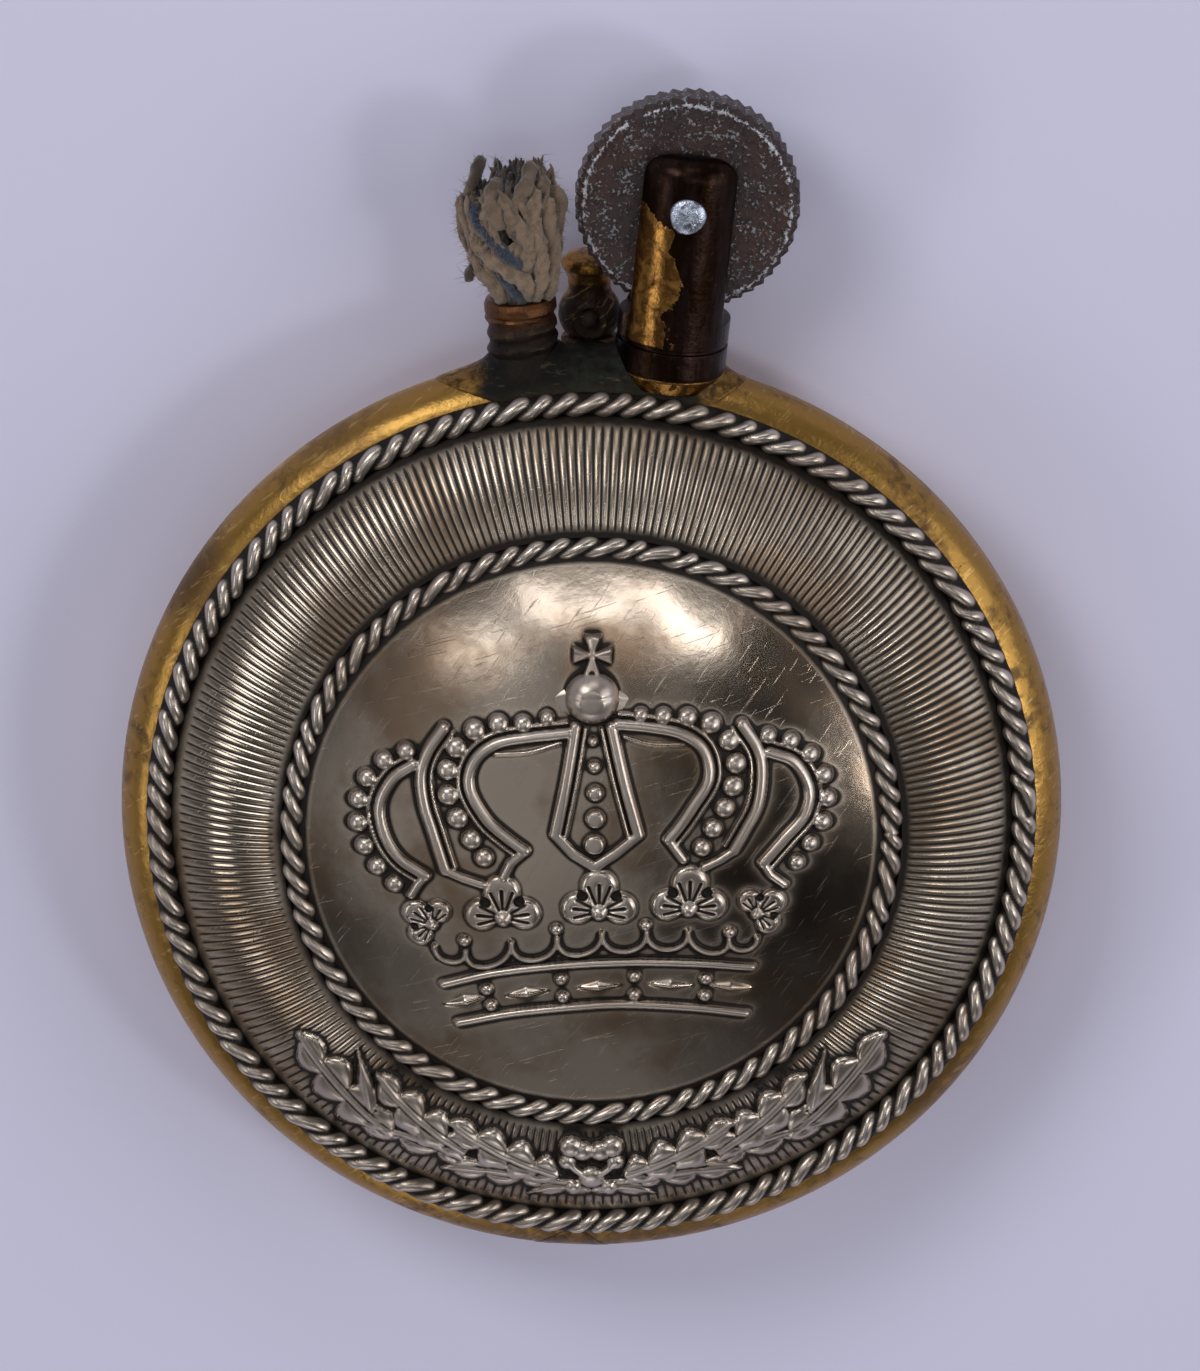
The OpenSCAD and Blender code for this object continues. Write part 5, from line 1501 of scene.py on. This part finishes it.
def dark_saddle(name):
    m = Finish(name, Specular_IOR_Level=0.12)
    clouds, small = m.noise(0.5, 5, 0.62, 0.4), m.noise(2.2, 5, 0.65)
    colour = m.mix(m.band(clouds, 0.4, 0.62), tone(14, 12, 10), tone(27, 23, 20))
    green = m.near((0.6, -7, 23.6), 3.0) * m.band(small, 0.42, 0.58)
    colour = m.mix(green * 0.55, colour, tone(36, 44, 35))
    worn = (m.band(m.noise(1.0, 4, 0.7, stretch=(0.5, 1.0, 3.0)), 0.6, 0.66) + m.mark("edge") * 0.3).held()
    colour = m.mix(worn * 0.45, colour, tone(84, 72, 55))
    colour = m.mix(m.band(small, 0.6, 0.7) * 0.6, colour, tone(18, 14, 12))
    x = m.parts(m.mm())[0]
    ends = m.band(x * x + (clouds - 0.5) * 60.0, 30.0, 50.0)
    colour = m.mix(ends * 0.9, colour, m.mix(m.band(small, 0.4, 0.65), tone(150, 114, 60), tone(88, 64, 38)))
    m.set(Base_Color=colour, Metallic=(0.1 + worn * 0.5 + ends).held(),
          Roughness=0.56 - worn * 0.15 + (small - 0.5) * 0.3,
          Normal=m.bump(small + clouds * 0.6, 0.09))
    return m


thread_brass("thread_brass").on(wick_tube, wick_foot)
dark_saddle("dark_saddle").on(saddle_plate)

# %% [markdown]
# ## Rusty steel
# The wheel is hard steel under a skin of purple-brown rust, rubbed to bright specks, most of
# all along the edge of its face. The heads of its pin are plain bright steel.

# %% Wheel, axle and spring steel
def rusty_wheel(name):
    m = Finish(name, IOR=1.5)
    clouds, small = m.noise(0.3, 5, 0.6, 0.5), m.noise(2.0, 5, 0.68)
    fine = m.noise(5.5, 4, 0.7)
    rust = m.mix(m.band(clouds, 0.36, 0.66), tone(66, 44, 39), tone(52, 43, 45))
    rust = m.mix(m.band(small, 0.44, 0.6) * 0.8, rust, tone(27, 18, 15))
    rim = m.mark("rim")
    patches = m.band(m.noise(0.7, 3, 0.6), 0.38, 0.66)
    speck = m.band(fine * 0.6 + small * 0.4 + rim * 0.1 + patches * 0.045, 0.56, 0.63)
    bare = (speck * (0.6 + rim)).held()
    tooth = m.mark("tooth")
    colour = m.mix((tooth * 0.5).held(), rust, tone(50, 36, 32))
    colour = m.mix(bare, colour, tone(186, 186, 194))
    m.set(Base_Color=colour, Metallic=0.35 + bare * 0.65, Roughness=0.56 - bare * 0.28,
          Normal=m.bump(small + fine * 0.6 + bare * 0.2, 0.07))
    return m


def plain_steel(name, metal, spot):
    m = Finish(name, IOR=1.5)
    small = m.noise(2.6, 4, 0.62)
    colour = m.mix(m.band(small, 0.52, 0.66), metal, spot)
    m.set(Base_Color=colour, Metallic=1.0, Roughness=0.26 + m.band(small, 0.45, 0.7) * 0.22,
          Normal=m.bump(small, 0.09))
    return m


rusty_wheel("wheel_steel").on(wheel)
plain_steel("axle_steel", tone(188, 196, 214), tone(92, 92, 100)).on(axle, rod)
plain_steel("spring_steel", tone(140, 142, 146), tone(90, 74, 62)).on(spring)

# %% [markdown]
# ## Cotton, leather and flint
# Cotton scatters light without gloss. Each yarn has its own shade from a mark stored with its
# points, and two more marks make the blue tracer and the sooty parts. A fourth mark makes yarns
# deep inside the bundle darker, as painted shade.

# %% Soft finishes and flint
def cotton_finish(name):
    m = Finish(name, Roughness=0.95, Specular_IOR_Level=0.12, Sheen_Weight=0.35, Sheen_Roughness=0.6)
    small, fine = m.noise(1.5, 5, 0.65), m.noise(9.0, 3, 0.7)
    colour = m.mix(m.mark("yarn"), tone(104, 84, 68), tone(140, 118, 97))
    colour = m.mix(m.band(small, 0.42, 0.64) * 0.7, colour, tone(94, 76, 61))
    top = m.band(m.mark("up") + (small - 0.5) * 4.0, 7.8, 11.0)
    colour = m.mix(top * 0.7, colour, tone(88, 74, 63))
    # painted shade: yarns deep inside the bundle turn dark brown
    colour = m.mix(m.mark("inner") * 0.9, colour, tone(48, 37, 30))
    colour = m.mix(m.mark("blue"), colour, m.mix(m.band(fine, 0.4, 0.62), tone(28, 36, 52), tone(52, 64, 84)))
    # the soot mark, and also darker towards the mouth of the tube, from 4.2 mm down to 2.9 mm up the wick
    soot = (m.mark("soot") + m.band(m.mark("up"), 4.2, 2.9) * 0.6).held()
    colour = m.mix(soot * 0.85, colour, tone(44, 34, 28))
    m.set(Base_Color=colour, Normal=m.bump(fine + small * 0.5, 0.09))
    return m


def clouded(name, one, other, scale, rough, depth):
    """A matt material that wanders between two colours."""
    m = Finish(name, Specular_IOR_Level=0.25)
    small = m.noise(scale, 5, 0.65)
    m.set(Base_Color=m.mix(m.band(small, 0.4, 0.62), one, other), Roughness=rough + (small - 0.5) * 0.2,
          Normal=m.bump(small, depth))
    return m


cotton_finish("cotton").on(wick, wick_fluff)
clouded("wadding", tone(205, 198, 182), tone(186, 176, 156), 1.2, 0.9, 0.15).on(cotton)
clouded("leather", tone(92, 62, 38), tone(60, 38, 24), 2.4, 0.7, 0.06).on(washer)
clouded("flint", tone(84, 78, 72), tone(52, 46, 42), 1.8, 0.55, 0.08).on(flint)
print("materials:", len([m for m in bpy.data.materials if m.use_nodes]))

# %% [markdown]
# ## Paper
# The lighter lies on its back on pale lavender paper, which stands upright in this frame just
# behind it. The paper shows only from the front and throws no shadow, so that the back can be
# lit and seen too. Under the tank a round middle piece shows to the camera alone, so the bright
# back still mirrors the room.

# %% Paper
def paper_sheet(name, radii):
    """A wide flat ring: rows are circles with the radii, in the plane just behind y = 0."""
    r = np.array(radii)[:, None]
    a = np.linspace(0, 2 * pi, 97)[None, :]
    flat = np.stack([r * np.cos(a), 0.06 + 0 * r * a, r * np.sin(a)], axis=-1)
    data = bpy.data.meshes.new(name)
    data.from_pydata((flat.reshape(-1, 3) * MM).tolist(), [], cells(len(radii), 97, False, False).tolist())
    data.update()
    if data.polygons[0].normal.y > 0:
        data.flip_normals()
    sheet = bpy.data.objects.new(name, data)
    bpy.context.scene.collection.objects.link(sheet)
    return sheet


def paper_finish(name, camera_only):
    """Matt paper that is clear from behind and in shadow rays, or clear but for the camera."""
    p = Finish(name, Roughness=0.9, Specular_IOR_Level=0.1)
    p.set(Base_Color=p.mix(p.noise(0.02, 3), tone(214, 212, 238), tone(220, 218, 243)))
    clear = p.node("ShaderNodeBsdfTransparent")
    hidden = p.node("ShaderNodeNewGeometry", output="Backfacing")
    hidden = hidden.most(p.node("ShaderNodeLightPath", output="Is Shadow Ray"))
    if camera_only:
        hidden = hidden.most(1.0 - p.node("ShaderNodeLightPath", output="Is Camera Ray"))
    both = p.node("ShaderNodeMixShader", {}, {0: hidden, 1: Wire(p, p.shader.outputs[0]), 2: clear})
    p.tree.links.new(both.socket, p.out.inputs["Surface"])
    return p


paper = paper_sheet("paper", [20.0, 24.0, 40.0, 120.0, 700.0])
middle = paper_sheet("paper_middle", [0.4, 8.0, 14.0, 20.0])
paper_finish("pale_paper", False).on(paper)
paper_finish("pale_paper_middle", True).on(middle)

# %% [markdown]
# ## Lamps
# Ten rectangular lamps stand for a window, a skylight, ceiling lamps and pale walls. The small
# key lamp gives the sharp lights on the relief, and the broad ones fill its shadows. Three
# narrow lamps make the highlight that the dome mirrors, and one behind lights the back.

# %% Lamps
def lamp(name, azimuth, elevation, far, wide, high, watts):
    """A rectangular lamp that looks at the middle of the lighter from a direction."""
    data = bpy.data.lights.new(name, "AREA")
    data.shape, data.size, data.size_y, data.energy = "RECTANGLE", wide, high, watts
    obj = bpy.data.objects.new(name, data)
    bpy.context.scene.collection.objects.link(obj)
    az, el = radians(azimuth), radians(elevation)
    way = np.array([sin(az) * cos(el), -cos(az) * cos(el), sin(el)])
    obj.location = way * far
    obj.rotation_euler = (pi / 2 - el, 0.0, az)
    return obj


lamp("key", 38, -8, 0.60, 0.09, 0.09, 0.4)
lamp("wall", 57, 6, 0.60, 0.40, 0.50, 1.0)
lamp("ceiling", 1, 9.5, 0.60, 0.20, 0.035, 0.11)
lamp("ceiling_left", -14, 4.0, 0.60, 0.10, 0.035, 0.05)
lamp("ceiling_right", 12, 6.0, 0.60, 0.08, 0.035, 0.06)
lamp("window", -32, 36, 0.55, 0.24, 0.18, 0.85)
lamp("skylight", 12, 60, 0.55, 0.30, 0.14, 0.3)
lamp("left_wall", -52, -8, 0.60, 0.12, 0.34, 0.45)
lamp("low_wall", -14, -66, 0.60, 0.30, 0.12, 0.25)
lamp("rear", 200, 25, 0.60, 0.40, 0.30, 1.0)

# %% [markdown]
# ## The room
# Bright metal shows what stands round it. The room is pale at the sides and behind, and dim in
# front, where the person with the camera stands. Three pale patches and a dark one at the right
# are spots on the sky: the nearer a direction is to the middle of one, the stronger it is.

# %% Room
class Room(Finish):
    """The world's nodes, written with the same sums as a finish."""

    def __init__(self):
        world = bpy.data.worlds.new("room")
        bpy.context.scene.world = world
        world.use_nodes = True
        self.tree = world.node_tree
        self.tree.nodes.clear()
        sky = self.tree.nodes.new("ShaderNodeBackground")
        self.out = self.tree.nodes.new("ShaderNodeOutputWorld")
        self.tree.links.new(sky.outputs[0], self.out.inputs["Surface"])
        self.sky = sky

    def spot(self, azimuth, elevation, inner, outer):
        """1 within inner degrees of a direction, and 0 beyond outer degrees."""
        az, el = radians(azimuth), radians(elevation)
        way = self.node("ShaderNodeTexCoord", output="Generated")
        facing = self.node("ShaderNodeVectorMath", {"operation": "DOT_PRODUCT"}, {
            0: way, 1: (sin(az) * cos(el), -cos(az) * cos(el), sin(el))}, output="Value")
        return self.band(facing, cos(radians(outer)), cos(radians(inner)))


room = Room()
depth = room.parts(room.node("ShaderNodeTexCoord", output="Generated"))[1]
pale = room.band(depth, -0.40, -0.04, 0.06, 0.46).most(room.spot(45, -15, 9, 13) * 0.42)
pale = pale.most(room.spot(-12, -14, 3, 27) * 0.42).most(room.spot(-10, -48, 6, 26) * 0.22)
pale = pale * (1.0 - room.spot(27, -17, 11, 21) * 0.98)
room.put(room.mix(pale, (0.0, 0.0, 0.0, 1.0), (1.0, 1.0, 1.03, 1.0)), room.sky.inputs["Color"])
bpy.context.scene.view_settings.view_transform = "Standard"
